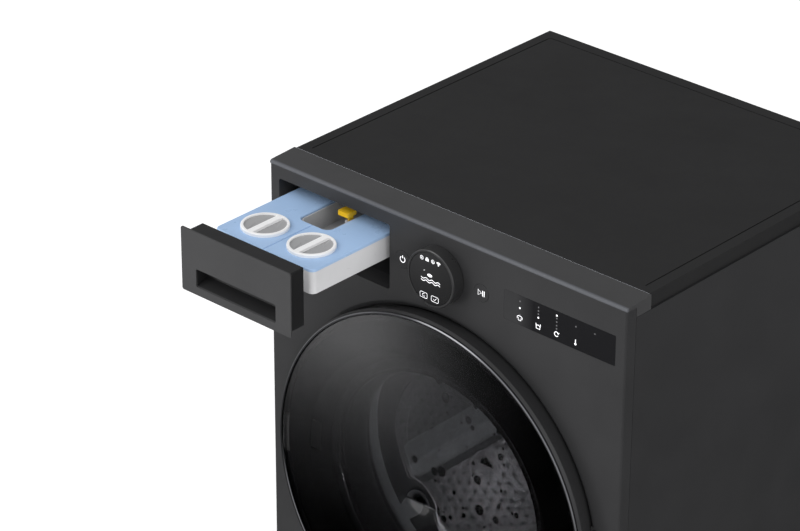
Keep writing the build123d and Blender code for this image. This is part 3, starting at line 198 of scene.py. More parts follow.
def gloss(name, colour, roughness=0.06, specular=0.25, **sockets):
    """Piano black and other polished plastic, with fine wiping marks and dust."""
    f = Finish(name, colour, roughness, specular=specular, **sockets)
    f.tint(f.noise(60, 3), 0.9, 1.1)
    f.stain(f.noise(1.6, 6, contrast=0.8), (0.16, 0.16, 0.17), 0.06, 0.62, 0.8)
    f.rough(f.noise(22, 6, (1, 1, 5), 0.7), roughness, roughness + 0.07)
    return f.bump(f.noise(160, 1), 0.2, 0.08)


def metal(name, colour, roughness, stretch=(1, 1, 1), grain=2.5, height=0.012, dull=0.12):
    """Bare metal with a grain that is drawn out along one direction."""
    f = Finish(name, colour, roughness, metallic=1.0)
    f.tint(f.noise(70, 4), 0.86, 1.04)
    f.stain(f.noise(9, 6, contrast=0.7), [c * 0.6 for c in colour], 0.3)
    f.rough(f.noise(grain, 5, stretch, 0.7), roughness, roughness + dull)
    return f.bump(f.noise(grain, 4, stretch), height, 0.3)


def galvanised(name, colour):
    """Zinc coated sheet with its spangle."""
    f = Finish(name, colour, 0.42, metallic=1.0)
    f.tint(f.cells(14), 0.82, 1.08, 0.1, 0.7)
    f.rough(f.cells(9), 0.34, 0.55, 0.1, 0.7)
    return f.bump(f.noise(3, 4), 0.02, 0.3)


def rubber(name, colour):
    """Moulded rubber with a dull bloom and faint mould lines."""
    roughness = 0.62
    f = Finish(name, colour, roughness, specular=0.35)
    f.tint(f.noise(30, 4), 0.85, 1.12)
    f.stain(f.noise(5, 6, contrast=0.8), paler(colour, 1.5, 0.02), 0.18)
    f.rough(f.noise(12, 5), roughness - 0.1, roughness + 0.1)
    return f.bump(f.noise(0.7, 3), 0.03, 0.4).bump(f.bands(3.0, "Y", 1.0), 0.06, 0.2)


def cast(name, colour, roughness, grain=1.6, height=0.18, metallic=0.0):
    """Concrete and sand cast aluminium."""
    f = Finish(name, colour, roughness, metallic=metallic, specular=0.3)
    f.tint(f.noise(22, 8, contrast=0.7), 0.72, 1.18)
    f.stain(f.cells(3.5), [c * 0.55 for c in colour], 0.4, 0.55, 0.9)
    f.rough(f.noise(8, 6), roughness - 0.1, min(1, roughness + 0.12))
    return f.bump(f.noise(grain, 6, contrast=0.7), height, 0.6)


def winding(name, colour):
    """Enamelled copper wire, turn beside turn."""
    f = Finish(name, colour, 0.3, metallic=1.0)
    turns = f.bands(0.9, "Z", 0.6)
    f.tint(turns, 0.55, 1.1, 0.1, 0.9)
    f.rough(f.noise(6, 4), 0.22, 0.45)
    return f.bump(turns, 0.3, 0.7)


def board(name, colour):
    """Green circuit board with its tracks under the lacquer."""
    f = Finish(name, colour, 0.32)
    tracks = f.bands(2.4, "X", 3.0)
    f.tint(tracks, 0.8, 1.35, 0.45, 0.6)
    f.stain(f.cells(7), (0.5, 0.42, 0.2), 0.5, 0.0, 0.12)
    f.rough(f.noise(8, 4), 0.25, 0.45)
    return f.bump(tracks, 0.05, 0.4)


GLASS_IOR = 1.46


def glass(name, colour):
    """Clear or body tinted glass with a very slight waviness and a few wiping marks."""
    f = Finish(name, colour, 0.0, Transmission_Weight=1.0, IOR=GLASS_IOR)
    f.tint(f.noise(120, 2), 0.94, 1.03)
    f.rough(f.noise(90, 1, (1, 1, 2), 0.4), 0.0, 0.02, 0.45, 0.8)
    return f.bump(f.noise(400, 0), 0.02, 0.01)


def lit(name, colour, strength):
    """Print with white light behind it, a little uneven."""
    f = Finish(name, colour, 0.4, Emission_Strength=strength)
    f.tint(f.noise(2.0, 3), 0.9, 1.0)
    f.tree.links.new(f.shader.inputs["Base Color"].links[0].from_socket, f.shader.inputs["Emission Color"])
    f.rough(f.noise(3, 3), 0.3, 0.5)
    return f.bump(f.noise(0.8, 2), 0.01, 0.2)


FINISHES = {
    "charcoal_moulding": moulded("charcoal_moulding", (0.030, 0.030, 0.031), 0.4, specular=0.22),
    "charcoal_paint": painted("charcoal_paint", (0.028, 0.028, 0.029), 0.4, specular=0.25),
    "charcoal_top": painted("charcoal_top", (0.0195, 0.0195, 0.0198), 0.5, specular=0.12),
    "charcoal_button": moulded("charcoal_button", (0.028, 0.028, 0.029), 0.36, 0.5, 0.01, 0.25),
    "galvanised_sheet": galvanised("galvanised_sheet", (0.42, 0.44, 0.45)),
    "dark_frame": moulded("dark_frame", (0.0035, 0.0035, 0.0037), 0.34, 0.6, 0.01, 0.0),
    "dark_plastic": moulded("dark_plastic", (0.016, 0.016, 0.017), 0.48, specular=0.25),
    "gloss_black": gloss("gloss_black", (0.006, 0.006, 0.0065)),
    "dark_trim": moulded("dark_trim", (0.024, 0.024, 0.0245), 0.3, 0.6, 0.008, 0.5),
    "circuit_board": board("circuit_board", (0.02, 0.12, 0.05)),
    "zinc_steel": metal("zinc_steel", (0.55, 0.54, 0.5), 0.32),
    "spring_steel": metal("spring_steel", (0.3, 0.3, 0.31), 0.35, (1, 1, 6)),
    "grey_rubber": rubber("grey_rubber", (0.13, 0.133, 0.137)),
    "black_rubber": rubber("black_rubber", (0.018, 0.018, 0.018)),
    "grey_plastic": moulded("grey_plastic", (0.3, 0.31, 0.32), 0.45, 0.8, 0.03),
    "white_plastic": moulded("white_plastic", (0.7, 0.7, 0.71), 0.32, 0.7, 0.01, 0.4),
    "cup_grey": moulded("cup_grey", (0.46, 0.465, 0.475), 0.38, 0.6, 0.015, 0.3),
    "pale_blue": moulded("pale_blue", (0.385, 0.555, 0.81), 0.3, 0.6, 0.01, 0.4),
    "amber_plastic": moulded("amber_plastic", (0.9, 0.55, 0.02), 0.3, 0.6, 0.01, 0.5),
    "concrete": cast("concrete", (0.36, 0.35, 0.33), 0.85),
    "copper_winding": winding("copper_winding", (0.62, 0.26, 0.1)),
    "heating_steel": metal("heating_steel", (0.4, 0.36, 0.3), 0.3, (1, 1, 4)),
    "stainless": metal("stainless", (0.5, 0.5, 0.51), 0.3, (1, 12, 1), 1.6, 0.006),
    "cast_aluminium": cast("cast_aluminium", (0.55, 0.56, 0.57), 0.45, 1.1, 0.08, 1.0),
    "polished_trim": metal("polished_trim", (0.16, 0.162, 0.17), 0.2, (1, 1, 1), 4.0, 0.002, 0.05),
    "tinted_glass": glass("tinted_glass", (0.22, 0.22, 0.23)),
    "clear_glass": glass("clear_glass", (0.97, 0.98, 0.98)),
}


def shaded(base, axis, start, end, colour, share):
    """Fades a finish to another colour between two places along an axis; the drawer, display and top rail
    use it for painted light and shade.
    """
    return base.stain(base.along(axis, start, end), colour, share, 0.0, 1.0)


def drawer_painted_light_finish():
    """Drawer front: satin plate coloured lighter than the fascia as painted light, and the box behind it
    darkened as painted shade.
    """
    low, _ = spot("drawer_front")
    # painted light: the plate's colour is lighter than the fascia's
    plate = moulded("drawer_plate_painted_light", (0.045, 0.045, 0.046), 0.4, specular=0.22)
    # painted shade: the box behind the plate fades to near black
    return shaded(plate, "Y", low.y + 2.1, low.y + 2.6, (0.016, 0.016, 0.0165), 1.0)


def display_painted_reflection_finish():
    """Round display: smoked glass with a painted reflection, a little lighter towards its top left and
    darker towards the right.
    """
    low, high = spot("dial_display")
    face = gloss("display_glass_painted_reflection", (0.014, 0.014, 0.0145), 0.08, 0.3)
    # painted reflection: lighter towards the top and darker towards the right
    shaded(face, "Z", low.z + 10, high.z, (0.034, 0.034, 0.035), 0.7)
    return shaded(face, "X", low.x + 20, high.x, (0.008, 0.008, 0.008), 0.6)


def window_finish():
    """Option strip: smoked pane that is lighter at its left end."""
    low, _ = spot("option_window")
    pane = gloss("smoked_pane", (0.034, 0.034, 0.035), 0.1, 0.2)
    return shaded(pane, "X", low.x + 24, low.x + 52, (0.010, 0.010, 0.011), 1.0)


PANE_IOR = (1.04, 1.66)  # of the door's pane, where it reflects least and most


def door_pane_painted_reflection():
    """Door glass: body tint, with its IOR raised towards the top left so that it reflects more there, a
    painted reflection.
    """
    low, high = spot("door_glass")
    pane = glass("door_pane", (0.22, 0.22, 0.23))
    up = pane.along("Z", low.z + 150, high.z - 70)
    left = pane.along("X", high.x - 60, low.x + 170)
    both = pane.tree.nodes.new("ShaderNodeMath")
    both.operation = "MULTIPLY"
    pane.tree.links.new(up, both.inputs[0])
    pane.tree.links.new(left, both.inputs[1])
    # painted reflection: the IOR rises towards the top left so the pane reflects more there
    reflection_boost = pane.spread(both.outputs[0], *PANE_IOR, 0.0, 1.0)
    pane.tree.links.new(reflection_boost, pane.shader.inputs["IOR"])
    return pane


def rail_painted_highlight_finish():
    """Top rail: its rounded front edge is coloured lighter than the rest, a painted highlight."""
    low, _ = spot("top_cap")
    rail = moulded("rail_moulding_painted_highlight", (0.047, 0.047, 0.048), 0.4, specular=0.25)
    # painted highlight along the rounded front edge
    return shaded(rail, "Y", low.y + 4.2, low.y + 2.4, (0.078, 0.081, 0.09), 1.0)


FILLER_WHITE = moulded("filler_white", (0.93, 0.93, 0.93), 0.3, 0.7, 0.01, 0.4)
OWN_FINISHES = {
    "top_cap": rail_painted_highlight_finish(),
    "door_glass": door_pane_painted_reflection(),
    "left_tank_cap": FILLER_WHITE,
    "right_tank_cap": FILLER_WHITE,
    "drawer_front": drawer_painted_light_finish(),
    "dial_display": display_painted_reflection_finish(),
    "option_window": window_finish(),
    "dial_ring": FINISHES["dark_trim"],
}
# grey that stands for the shade in the caps' half-moon recesses: painted shade
CAP_SCOOP_SHADE = moulded("cap_scoop_shade", (0.36, 0.36, 0.365), 0.34, 0.6, 0.01, 0.35)
# pale colour for a painted highlight along the seam behind the top rail
SEAM_HIGHLIGHT = moulded("seam_painted_highlight", (0.62, 0.64, 0.7), 0.3, 0.6, 0.01, 0.5)
BORDER = gloss("glass_border", (0.002, 0.002, 0.002), 0.3, 0.05)
LIT_BRIGHT = lit("lit_print", (0.9, 0.9, 0.92), 0.75)
LIT_DIM = lit("dim_print", (0.12, 0.12, 0.125), 0.2)
WATER = gloss("water", (0.02, 0.021, 0.023), 0.03, 1.0, Transmission_Weight=0.4, Coat_Weight=1.0)


# ---------------------------------------------------------------- mesh building

WELD = 1e-4              # corners nearer than this are joined
BEVEL_ANGLE = 40         # degrees: sharper edges are bevelled
SMOOTH_ANGLE = 35        # degrees: faces that meet at less are shaded as one
TUBE_SIDES = 8


def solid(name, bm, finish, body, bevel=0.0, smooth=SMOOTH_ANGLE):
    """Turns a mesh laid out in millimetres into a piece that rides on a body."""
    bmesh.ops.remove_doubles(bm, verts=bm.verts, dist=WELD)
    bmesh.ops.recalc_face_normals(bm, faces=bm.faces)
    bmesh.ops.scale(bm, vec=(MM, MM, MM), verts=bm.verts)
    mesh = bpy.data.meshes.new(name)
    bm.to_mesh(mesh)
    bm.free()
    obj = bpy.data.objects.new(name, mesh)
    bpy.context.scene.collection.objects.link(obj)
    mesh.materials.append(finish.material)
    if bevel:
        edge = obj.modifiers.new("edge", "BEVEL")
        edge.width = bevel * MM
        edge.segments = 2
        edge.limit_method = "ANGLE"
        edge.angle_limit = math.radians(BEVEL_ANGLE)
    for face in mesh.polygons:
        face.use_smooth = True
    mesh.set_sharp_from_angle(angle=math.radians(smooth))
    if body:
        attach(obj, body)
    return obj


def middle(low, high):
    """Centre of a box in X and Z."""
    return (low.x + high.x) / 2, (low.z + high.z) / 2


def around(steps):
    """Evenly spaced angles of one turn."""
    return [2 * math.pi * k / steps for k in range(steps)]


def circle(u, v, radius, steps):
    """Points of a circle in the XZ plane."""
    return [(u + radius * math.cos(a), v + radius * math.sin(a)) for a in around(steps)]


def arc(u, v, radius, start, end, steps=24):
    """Points along an arc, in degrees from +X towards +Z."""
    angles = [math.radians(start + (end - start) * k / steps) for k in range(steps + 1)]
    return [(u + radius * math.cos(a), v + radius * math.sin(a)) for a in angles]


def rounded_box(u, v, half_u, half_v, corner):
    """Points around a rectangle with round corners."""
    points = []
    for cu, cv, start in ((1, 1, 0), (-1, 1, 90), (-1, -1, 180), (1, -1, 270)):
        points += arc(u + cu * (half_u - corner), v + cv * (half_v - corner), corner, start, start + 90, 5)
    return points


def bridge(bm, loops, closed=True):
    """Quads between each loop of vertices and the next."""
    count = len(loops[0])
    for here, after in zip(loops, loops[1:]):
        for i in range(count if closed else count - 1):
            j = (i + 1) % count
            bm.faces.new((here[i], here[j], after[j], after[i]))


def revolve(bm, profile, centre, steps, closed=True):
    """Turns a profile of (radius, y) about the Y axis through centre = (x, z)."""
    x, z = centre
    rings = []
    for a in around(steps):
        rings.append([bm.verts.new((x + r * math.cos(a), y, z + r * math.sin(a))) for r, y in profile])
    bridge(bm, rings + rings[:1], closed)


def slab(bm, outline, front, back):
    """Thin plate in the XZ plane from a flat outline, between two depths along Y."""
    loops = [[bm.verts.new((u, y, v)) for u, v in outline] for y in (front, back)]
    for loop in loops:
        bm.faces.new(loop)
    bridge(bm, loops)


def disc(bm, u, v, radius, front, back, steps=20):
    """Thin round plate in the XZ plane."""
    slab(bm, circle(u, v, radius, steps), front, back)


def strip(bm, points, width, front, back, closed=False):
    """Flat line of even width along points in the XZ plane."""
    count = len(points)
    left, right = [], []
    for i, (u, v) in enumerate(points):
        before = points[i - 1] if i or closed else points[i]
        after = points[(i + 1) % count] if i < count - 1 or closed else points[i]
        du, dv = after[0] - before[0], after[1] - before[1]
        length = math.hypot(du, dv) or 1.0
        nu, nv = -dv / length * width / 2, du / length * width / 2
        left.append((u + nu, v + nv))
        right.append((u - nu, v - nv))
    for i in range(count if closed else count - 1):
        j = (i + 1) % count
        slab(bm, [left[i], left[j], right[j], right[i]], front, back)


def tube(bm, line, radius):
    """Round tube along a line of points, with flat ends."""
    rings = []
    side_way = None
    for i, p in enumerate(line):
        ahead = (line[min(i + 1, len(line) - 1)] - line[max(i - 1, 0)]).normalized()
        if side_way is None:
            side_way = ahead.orthogonal().normalized()
        side_way = (side_way - ahead * side_way.dot(ahead)).normalized()
        other = ahead.cross(side_way)
        rings.append([bm.verts.new(p + radius * (side_way * math.cos(a) + other * math.sin(a)))
                      for a in around(TUBE_SIDES)])
    bridge(bm, rings)
    bm.faces.new(rings[0])
    bm.faces.new(rings[-1][::-1])


# ---------------------------------------------------------------- lit prints

PRINT = 0.08             # thickness of a print
THIN = 0.7               # widths of printed lines
LINE = 0.9

# display: heights of its rows over the middle, and the shape of its waves
STATUS_ROW = 25.6
DOT_ROW = 9
BLOB_ROW = 4.4
FRAME_ROW = -26.6
WAVE_ROWS = (-1.9, -5.3)
WAVE_HEIGHT = 1.1
WAVE_RATE = 0.62         # radians per millimetre
WAVE_REACH = 16


def display_icons():
    """Generic marks on the round display: a row of four, dots over two waves, and two framed ones."""
    low, high = spot("dial_display")
    u0, v0 = middle(low, high)
    front, back = low.y - PRINT, low.y
    bm = bmesh.new()

    # a ring with a dot, a padlock, an open ring with a dot, and arcs over a dot
    row = v0 + STATUS_ROW
    strip(bm, arc(u0 - 15, row, 2.5, 0, 360, 20)[:-1], THIN, front, back, True)
    disc(bm, u0 - 15, row, 0.9, front, back)
    slab(bm, [(u0 - 8.6, row - 2.4), (u0 - 3.4, row - 2.4), (u0 - 3.4, row + 0.6), (u0 - 8.6, row + 0.6)],
         front, back)
    strip(bm, arc(u0 - 6, row + 0.6, 1.7, 0, 180, 10), LINE, front, back)
    strip(bm, arc(u0 + 3.8, row, 2.5, 60, 390, 20), THIN, front, back)
    disc(bm, u0 + 3.8, row, 1.0, front, back)
    for radius in (1.6, 3.1, 4.6):
        strip(bm, arc(u0 + 13, row - 2.6, radius, 45, 135, 8), LINE, front, back)
    disc(bm, u0 + 13, row - 2.6, 0.7, front, back)

    # dots over two waves
    disc(bm, u0 - 10.8, v0 + DOT_ROW, 0.6, front, back)
    for du, radius in ((-3.6, 1.7), (-1.4, 2.3), (1.0, 1.6)):
        disc(bm, u0 + du, v0 + BLOB_ROW, radius, front, back)
    for rise in WAVE_ROWS:
        wave = [(u0 + t, v0 + rise + WAVE_HEIGHT * math.sin(t * WAVE_RATE))
                for t in range(-WAVE_REACH, WAVE_REACH + 1)]
        strip(bm, wave, LINE, front, back)

    # two frames, with an open ring and a tick in them
    row = v0 + FRAME_ROW
    for du in (-11.5, 7.5):
        strip(bm, rounded_box(u0 + du, row, 6.0, 3.9, 1.8), 0.6, front, back, True)
    strip(bm, arc(u0 - 11.5, row, 2.0, 50, 340, 18), 0.6, front, back)
    strip(bm, [(u0 + 5.1, row), (u0 + 7.0, v0 - 28.4), (u0 + 10.2, v0 - 24.8)], 0.65, front, back)
    solid("display_icons", bm, LIT_BRIGHT, "cabinet")


def power_icon():
    """Ring that is open at the top, with a bar in the gap."""
    low, high = spot("power_button")
    u0, v0 = middle(low, high)
    front, back = low.y - PRINT, low.y
    bm = bmesh.new()
    strip(bm, arc(u0, v0, 4.1, 125, 415, 30), 1.2, front, back)
    strip(bm, [(u0, v0 + 1.6), (u0, v0 + 5.6)], 1.2, front, back)
    solid("power_icon", bm, LIT_BRIGHT, "power_button")


def play_icon():
    """Triangle outline and two bars."""
    low, high = spot("start_button")
    u0, v0 = middle(low, high)
    front, back = low.y - PRINT, low.y
    bm = bmesh.new()
    triangle = [(u0 - 5.2, v0 - 3.9), (u0 + 0.4, v0), (u0 - 5.2, v0 + 3.9)]
    strip(bm, triangle, LINE, front, back, True)
    for du in (2.3, 4.9):
        strip(bm, [(u0 + du, v0 - 4), (u0 + du, v0 + 4)], 1.1, front, back)
    solid("play_icon", bm, LIT_BRIGHT, "start_button")


# each column of the option strip: place along the strip, lit dot, dim dots, and whether it has an icon
OPTION_COLUMNS = (
    (0.0, 24.0, (33.5, 14.5), True),
    (30.0, 21.5, (36.0, 31.0, 26.5), True),
    (59.5, 35.5, (31.5, 26.5, 21.5, 17.0), True),
    (90.0, None, (31.5,), True),
    (120.0, None, (32.5,), False),
)
OPTION_START = 26.0
OPTION_ICON = 9.6
WINDOW_FLANGE = 4.0      # hidden edge of the window on each side
LIT_DOT = 1.3
DIM_DOT = 1.1
SHIRT = ((-2.6, -3.4), (2.6, -3.4), (2.6, 0.6), (4.8, -0.6), (4.8, 2.0), (2.2, 3.8), (-2.2, 3.8),
         (-4.8, 2.0), (-4.8, -0.6), (-2.6, 0.6))
SHIRT_SCALE = 0.85


def option_lights():
    """Columns of indicator dots over generic garment, water and temperature icons."""
    low, _ = spot("option_window")
    front, back = low.y - PRINT, low.y
    bright, dim = bmesh.new(), bmesh.new()
    for index, (du, lamp, unlit, icon) in enumerate(OPTION_COLUMNS):
        u = low.x + WINDOW_FLANGE + OPTION_START + du
        base = low.z + WINDOW_FLANGE
        if lamp:
            disc(bright, u, base + lamp, LIT_DOT, front, back, 16)
        for v in unlit:
            disc(dim, u, base + v, DIM_DOT, front, back, 12)
        if not icon:
            continue
        v = base + OPTION_ICON
        if index == 0:
            shirt = [(u + a * SHIRT_SCALE, v + b * SHIRT_SCALE) for a, b in SHIRT]
            strip(bright, shirt, LINE, front, back, True)
        elif index == 1:
            tub = [(u - 3.6, v + 3.6), (u - 2.8, v - 3.6), (u + 2.8, v - 3.6), (u + 3.6, v + 3.6)]
            strip(bright, tub, 1.0, front, back)
            strip(bright, [(u - 2.8, v + 0.6), (u, v + 1.8), (u + 2.8, v + 0.6)], LINE, front, back)
        elif index == 2:
            strip(bright, arc(u, v, 3.1, 20, 330, 20), 1.0, front, back)
            slab(bright, [(u + 1.2, v + 2.6), (u + 4.8, v + 2.6), (u + 3.0, v + 0.2)], front, back)
        else:
            disc(bright, u, v - 2.4, 1.6, front, back, 16)
            strip(bright, [(u, v - 2.6), (u, v + 3.8)], 1.2, front, back)
    solid("option_icons", bright, LIT_BRIGHT, "cabinet")
    solid("option_dim_dots", dim, LIT_DIM, "cabinet")


# ---------------------------------------------------------------- drum, gasket and springs

HOLE_PITCH = 15.0
HOLE_RADIUS = 3.0
HOLE_DIMPLE = 0.72       # how far a hole's rim stands out behind the wall
DIMPLE_SPREAD = 2.1      # radius of a dimple over that of its hole
DRUM_WALL = 1.6
DRUM_MOUTH = 178.0
DRUM_STEPS = 128
RIB_RADII = range(210, 60, -30)


def perforated_wall(bm, centre, radius, y0, y1):
    """Cylinder of square cells with a dimpled hole in each; every second row is shifted by half a cell."""
    x0, z0 = centre
    columns = round(2 * math.pi * radius / HOLE_PITCH)
    rows = round((y1 - y0) / HOLE_PITCH)
    width = 2 * math.pi / columns
    depth = (y1 - y0) / rows
    hole = HOLE_RADIUS / (radius * width)
    dimple = DIMPLE_SPREAD * hole
    square = ((1, 0), (1, 1), (0, 1), (-1, 1), (-1, 0), (-1, -1), (0, -1), (1, -1))

    def point(s, t, out=0.0):
        a = s * width
        r = radius + out
        return bm.verts.new((x0 + r * math.cos(a), y0 + t * depth, z0 + r * math.sin(a)))

    for row in range(rows):
        shift = 0.5 * (row % 2)
        for column in range(columns):
            s, t = column + shift + 0.5, row + 0.5
            rim = [point(s + a / 2, t + b / 2) for a, b in square]
            ring = []
            lip = []
            for a, b in square:
                length = math.hypot(a, b)
                ring.append(point(s + dimple * a / length, t + dimple * b / length))
                lip.append(point(s + hole * a / length, t + hole * b / length, HOLE_DIMPLE))
            for i in range(len(square)):
                j = (i + 1) % len(square)
                bm.faces.new((rim[i], rim[j], ring[j], ring[i]))
                bm.faces.new((ring[i], ring[j], lip[j], lip[i]))


def drum_shell():
    """Stainless drum with its perforated wall, rolled mouth and ribbed back."""
    low, high = spot("drum")
    centre = middle(low, high)
    outer = (high.x - low.x) / 2
    inner = outer - DRUM_WALL
    mouth = DRUM_MOUTH
    front, back = low.y, high.y
    wall_y0, wall_y1 = front + 14, back - 10
    bm = bmesh.new()
    perforated_wall(bm, centre, inner, wall_y0, wall_y1)

    inside_front = [(inner, wall_y0), (inner - 1, front + 9), (inner - 7, front + 3.4),
                    (inner - 22, front + 2.2), (mouth + 16, front + 1.4), (mouth + 6, front + 1.2),
                    (mouth + 2, front + 3), (mouth + 2, front + 7)]
    outside_front = [(mouth, front + 7), (mouth + 0.8, front + 2), (mouth + 6, front),
                     (outer - 9, front + 0.8), (outer - 1, front + 5), (outer, front + 11), (outer, wall_y0)]
    ribs = [(inner, wall_y1), (inner - 2, back - 5), (inner - 8, back - 2.2)]
    for radius in RIB_RADII:
        ribs += [(radius + 8, back - 2.0), (radius + 4, back - 5.5)]
        ribs += [(radius - 4, back - 5.5), (radius - 8, back - 2.0)]
    ribs += [(52, back - 2), (48, back - 4), (40, back - 7)]
    ribs += [(28, back - 9.5), (14, back - 10.7), (0.01, back - 11)]
    behind = [(0.01, back), (outer - 8, back), (outer, back - 6), (outer, wall_y1)]
    for profile in (inside_front + outside_front, ribs, behind):
        revolve(bm, profile, centre, DRUM_STEPS, closed=False)
    shell = solid("drum_shell", bm, FINISHES["stainless"], "drum")
    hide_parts("drum")


SEAL_WALL = 2.6
SEAL_STEPS = 144


def gasket_bellows():
    """Door seal with its clamped rims, a lip for the door and one deep fold."""
    low, high = spot("door_gasket")
    centre = middle(low, high)
    outer = (high.x - low.x) / 2
    front, back = low.y, high.y
    wall = SEAL_WALL
    line = [(outer - wall, front), (outer - wall, front + 13), (outer - 9, front + 17),
            (outer - 20, front + 17), (outer - 36, front + 21), (outer - 41, front + 26),
            (outer - 41, front + 32), (outer - 36, front + 37), (outer - 22, front + 40),
            (outer - 17, front + 44), (outer - 24, front + 48), (outer - 25, front + 52),
            (outer - 14, front + 55), (outer - 7 - wall, front + 58), (outer - 6 - wall, back)]
    shifted = [(r + wall, y + 0.4) for r, y in line[:2]] + [(r + 0.6, y + wall) for r, y in line[2:-2]]
    shifted += [(r + wall, y) for r, y in line[-2:]]
    bm = bmesh.new()
    revolve(bm, line + shifted[::-1], centre, SEAL_STEPS)
    seal = solid("gasket_bellows", bm, FINISHES["grey_rubber"], None, smooth=60)
    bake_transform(seal)
    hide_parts("door_gasket")


SPRING_WIRE = 2.0        # radius of the wire
SPRING_RADIUS = 12.0
SPRING_HOOK = 12.0       # height of the hook at each end
SPRING_TURNS = 15
TURN_STEPS = 20


def coil_springs():
    """Two tension springs from the cabinet's rails to the tub, with hooks at both ends."""
    low, high = spot("suspension_springs")
    wire, radius, hook = SPRING_WIRE, SPRING_RADIUS, SPRING_HOOK
    steps = SPRING_TURNS * TURN_STEPS
    bends = [math.radians(150 - 25 * i) for i in range(6)]
    y = (low.y + high.y) / 2
    for side, x in (("left", low.x + radius + wire), ("right", high.x - radius - wire)):
        line = []
        for k in range(steps + 1):
            a = 2 * math.pi * k / TURN_STEPS
            z = low.z + hook + (high.z - low.z - 2 * hook) * k / steps
            line.append(Vector((x + radius * math.cos(a), y + radius * math.sin(a), z)))
        for end, z in ((0, low.z + wire), (-1, high.z - wire)):
            reach = line[end].z - z
            tail = [Vector((x + radius * math.cos(t), y, z + reach * math.sin(t))) for t in bends]
            line = tail + line if end == 0 else line + tail[::-1]
        bm = bmesh.new()
        tube(bm, line, wire)
        spring = solid(f"spring_{side}", bm, FINISHES["spring_steel"], None, smooth=70)
        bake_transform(spring)
        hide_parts("suspension_springs")


# ---------------------------------------------------------------- drops, caps, seam and border

DROP_COUNT = 70
DROP_REACH = 138         # radius of the wet part of the bowl
DROP_SIDES = 14
DROP_TILTS = (0, 28, 52, 72, 88)     # degrees up the side of a drop
DROP_HEIGHT = 0.5        # height over radius
DROP_STRETCH = 1.12      # how much longer than wide, downwards
BOWL_FALL = 3.9          # how far the bowl's face falls back at BOWL_REACH from its middle
BOWL_REACH = 150


def water_drops():
    """Beads of water on the drum side of the door bowl."""
    low, high = spot("door_bowl")
    x0, z0 = middle(low, high)
    rng = random.Random(SEED)
    bm = bmesh.new()
    for _ in range(DROP_COUNT):
        a = rng.uniform(0, 2 * math.pi)
        r = DROP_REACH * math.sqrt(rng.random())
        size = 1.6 + 6.0 * rng.random() ** 2.5
        y = high.y - BOWL_FALL * (r / BOWL_REACH) ** 2 + 0.05
        rings = []
        for tilt in DROP_TILTS:
            rr = size * math.cos(math.radians(tilt))
            h = DROP_HEIGHT * size * math.sin(math.radians(tilt))
            rings.append([bm.verts.new((x0 + r * math.cos(a) + rr * math.cos(b), y + h,
                                        z0 + r * math.sin(a) + DROP_STRETCH * rr * math.sin(b)))
                          for b in around(DROP_SIDES)])
        bridge(bm, rings)
        bm.faces.new(rings[0][::-1])
        bm.faces.new(rings[-1])
    solid("water_drops", bm, WATER, "door", smooth=50)


MOON_RIM = 4.15          # wall of the cap outside the half moons
MOON_BAR = 4.65          # half the width of the grip between them
MOON_DEPTH = 3.5
MOON_STEPS = 24


def shaded_cap_scoops():
    """Grey floors of the two half moons in each filler cap: painted shade in the recesses."""
    for side in ("left", "right"):
        low, high = spot(f"{side}_tank_cap")
        x, y = (low.x + high.x) / 2, (low.y + high.y) / 2
        radius, bar = (high.x - low.x) / 2 - MOON_RIM, MOON_BAR
        floor = high.z - MOON_DEPTH
        deep, shallow = floor + 0.05, floor + 1.5
        reach = math.acos(bar / radius)
        bm = bmesh.new()
        for way in (-1, 1):
            edge = [(x + way * radius * math.cos(a), y + radius * math.sin(a))
                    for a in [reach * (2 * k / MOON_STEPS - 1) for k in range(MOON_STEPS + 1)]]
            top = [bm.verts.new((u, v, shallow if way * (u - x) > bar + 0.1 else deep)) for u, v in edge]
            inner = [bm.verts.new((x + way * bar, v, deep)) for v in (edge[-1][1], edge[0][1])]
            hub = bm.verts.new((x + way * (bar + radius) / 2, y, floor + 0.4))
            ring = top + inner
            for a, b in zip(ring, ring[1:] + ring[:1]):
                bm.faces.new((a, b, hub))
            low_ring = [bm.verts.new((p.co.x, p.co.y, floor + 0.01)) for p in ring]
            bridge(bm, [ring, low_ring])
            bm.faces.new(low_ring)
        solid(f"{side}_shaded_cap_scoops", bm, CAP_SCOOP_SHADE, f"{side}_cap", smooth=25)


SEAM_INSET = 3.2         # distance of the highlight strip's ends from the ends of the rail
SEAM_TOP = 0.12          # below the rail's top
SEAM_BOTTOM = 3
SEAM_FRONT = 0.06        # behind the rail's back
SEAM_BACK = 0.44


def painted_seam_highlight():
    """Pale strip in the seam behind the top rail, a painted highlight along the seam."""
    low, high = spot("top_cap")
    left, right = low.x + SEAM_INSET, high.x - SEAM_INSET
    bottom, top = high.z - SEAM_BOTTOM, high.z - SEAM_TOP
    bm = bmesh.new()
    slab(bm, [(left, bottom), (right, bottom), (right, top), (left, top)],
         high.y + SEAM_FRONT, high.y + SEAM_BACK)
    solid("painted_seam_highlight", bm, SEAM_HIGHLIGHT, "cabinet")


PANE_THICKNESS = 4.0
BORDER_SET = 4.8         # behind the front of the pane
BORDER_THICKNESS = 0.25
BORDER_SHARES = (0.80, 0.84, 0.88, 0.92, 0.965)      # radii over that of the pane


def glass_border():
    """Black border printed on the back of the door glass."""
    low, high = spot("door_glass")
    outer = (high.x - low.x) / 2
    sag = high.y - low.y - PANE_THICKNESS
    bm = bmesh.new()
    profile = [(outer * share, low.y + BORDER_SET + sag * share ** 2) for share in BORDER_SHARES]
    behind = [(r, y + BORDER_THICKNESS) for r, y in profile]
    revolve(bm, profile + behind[::-1], middle(low, high), SEAL_STEPS)
    solid("glass_border", bm, BORDER, "door")


# ---------------------------------------------------------------- back of the cabinet

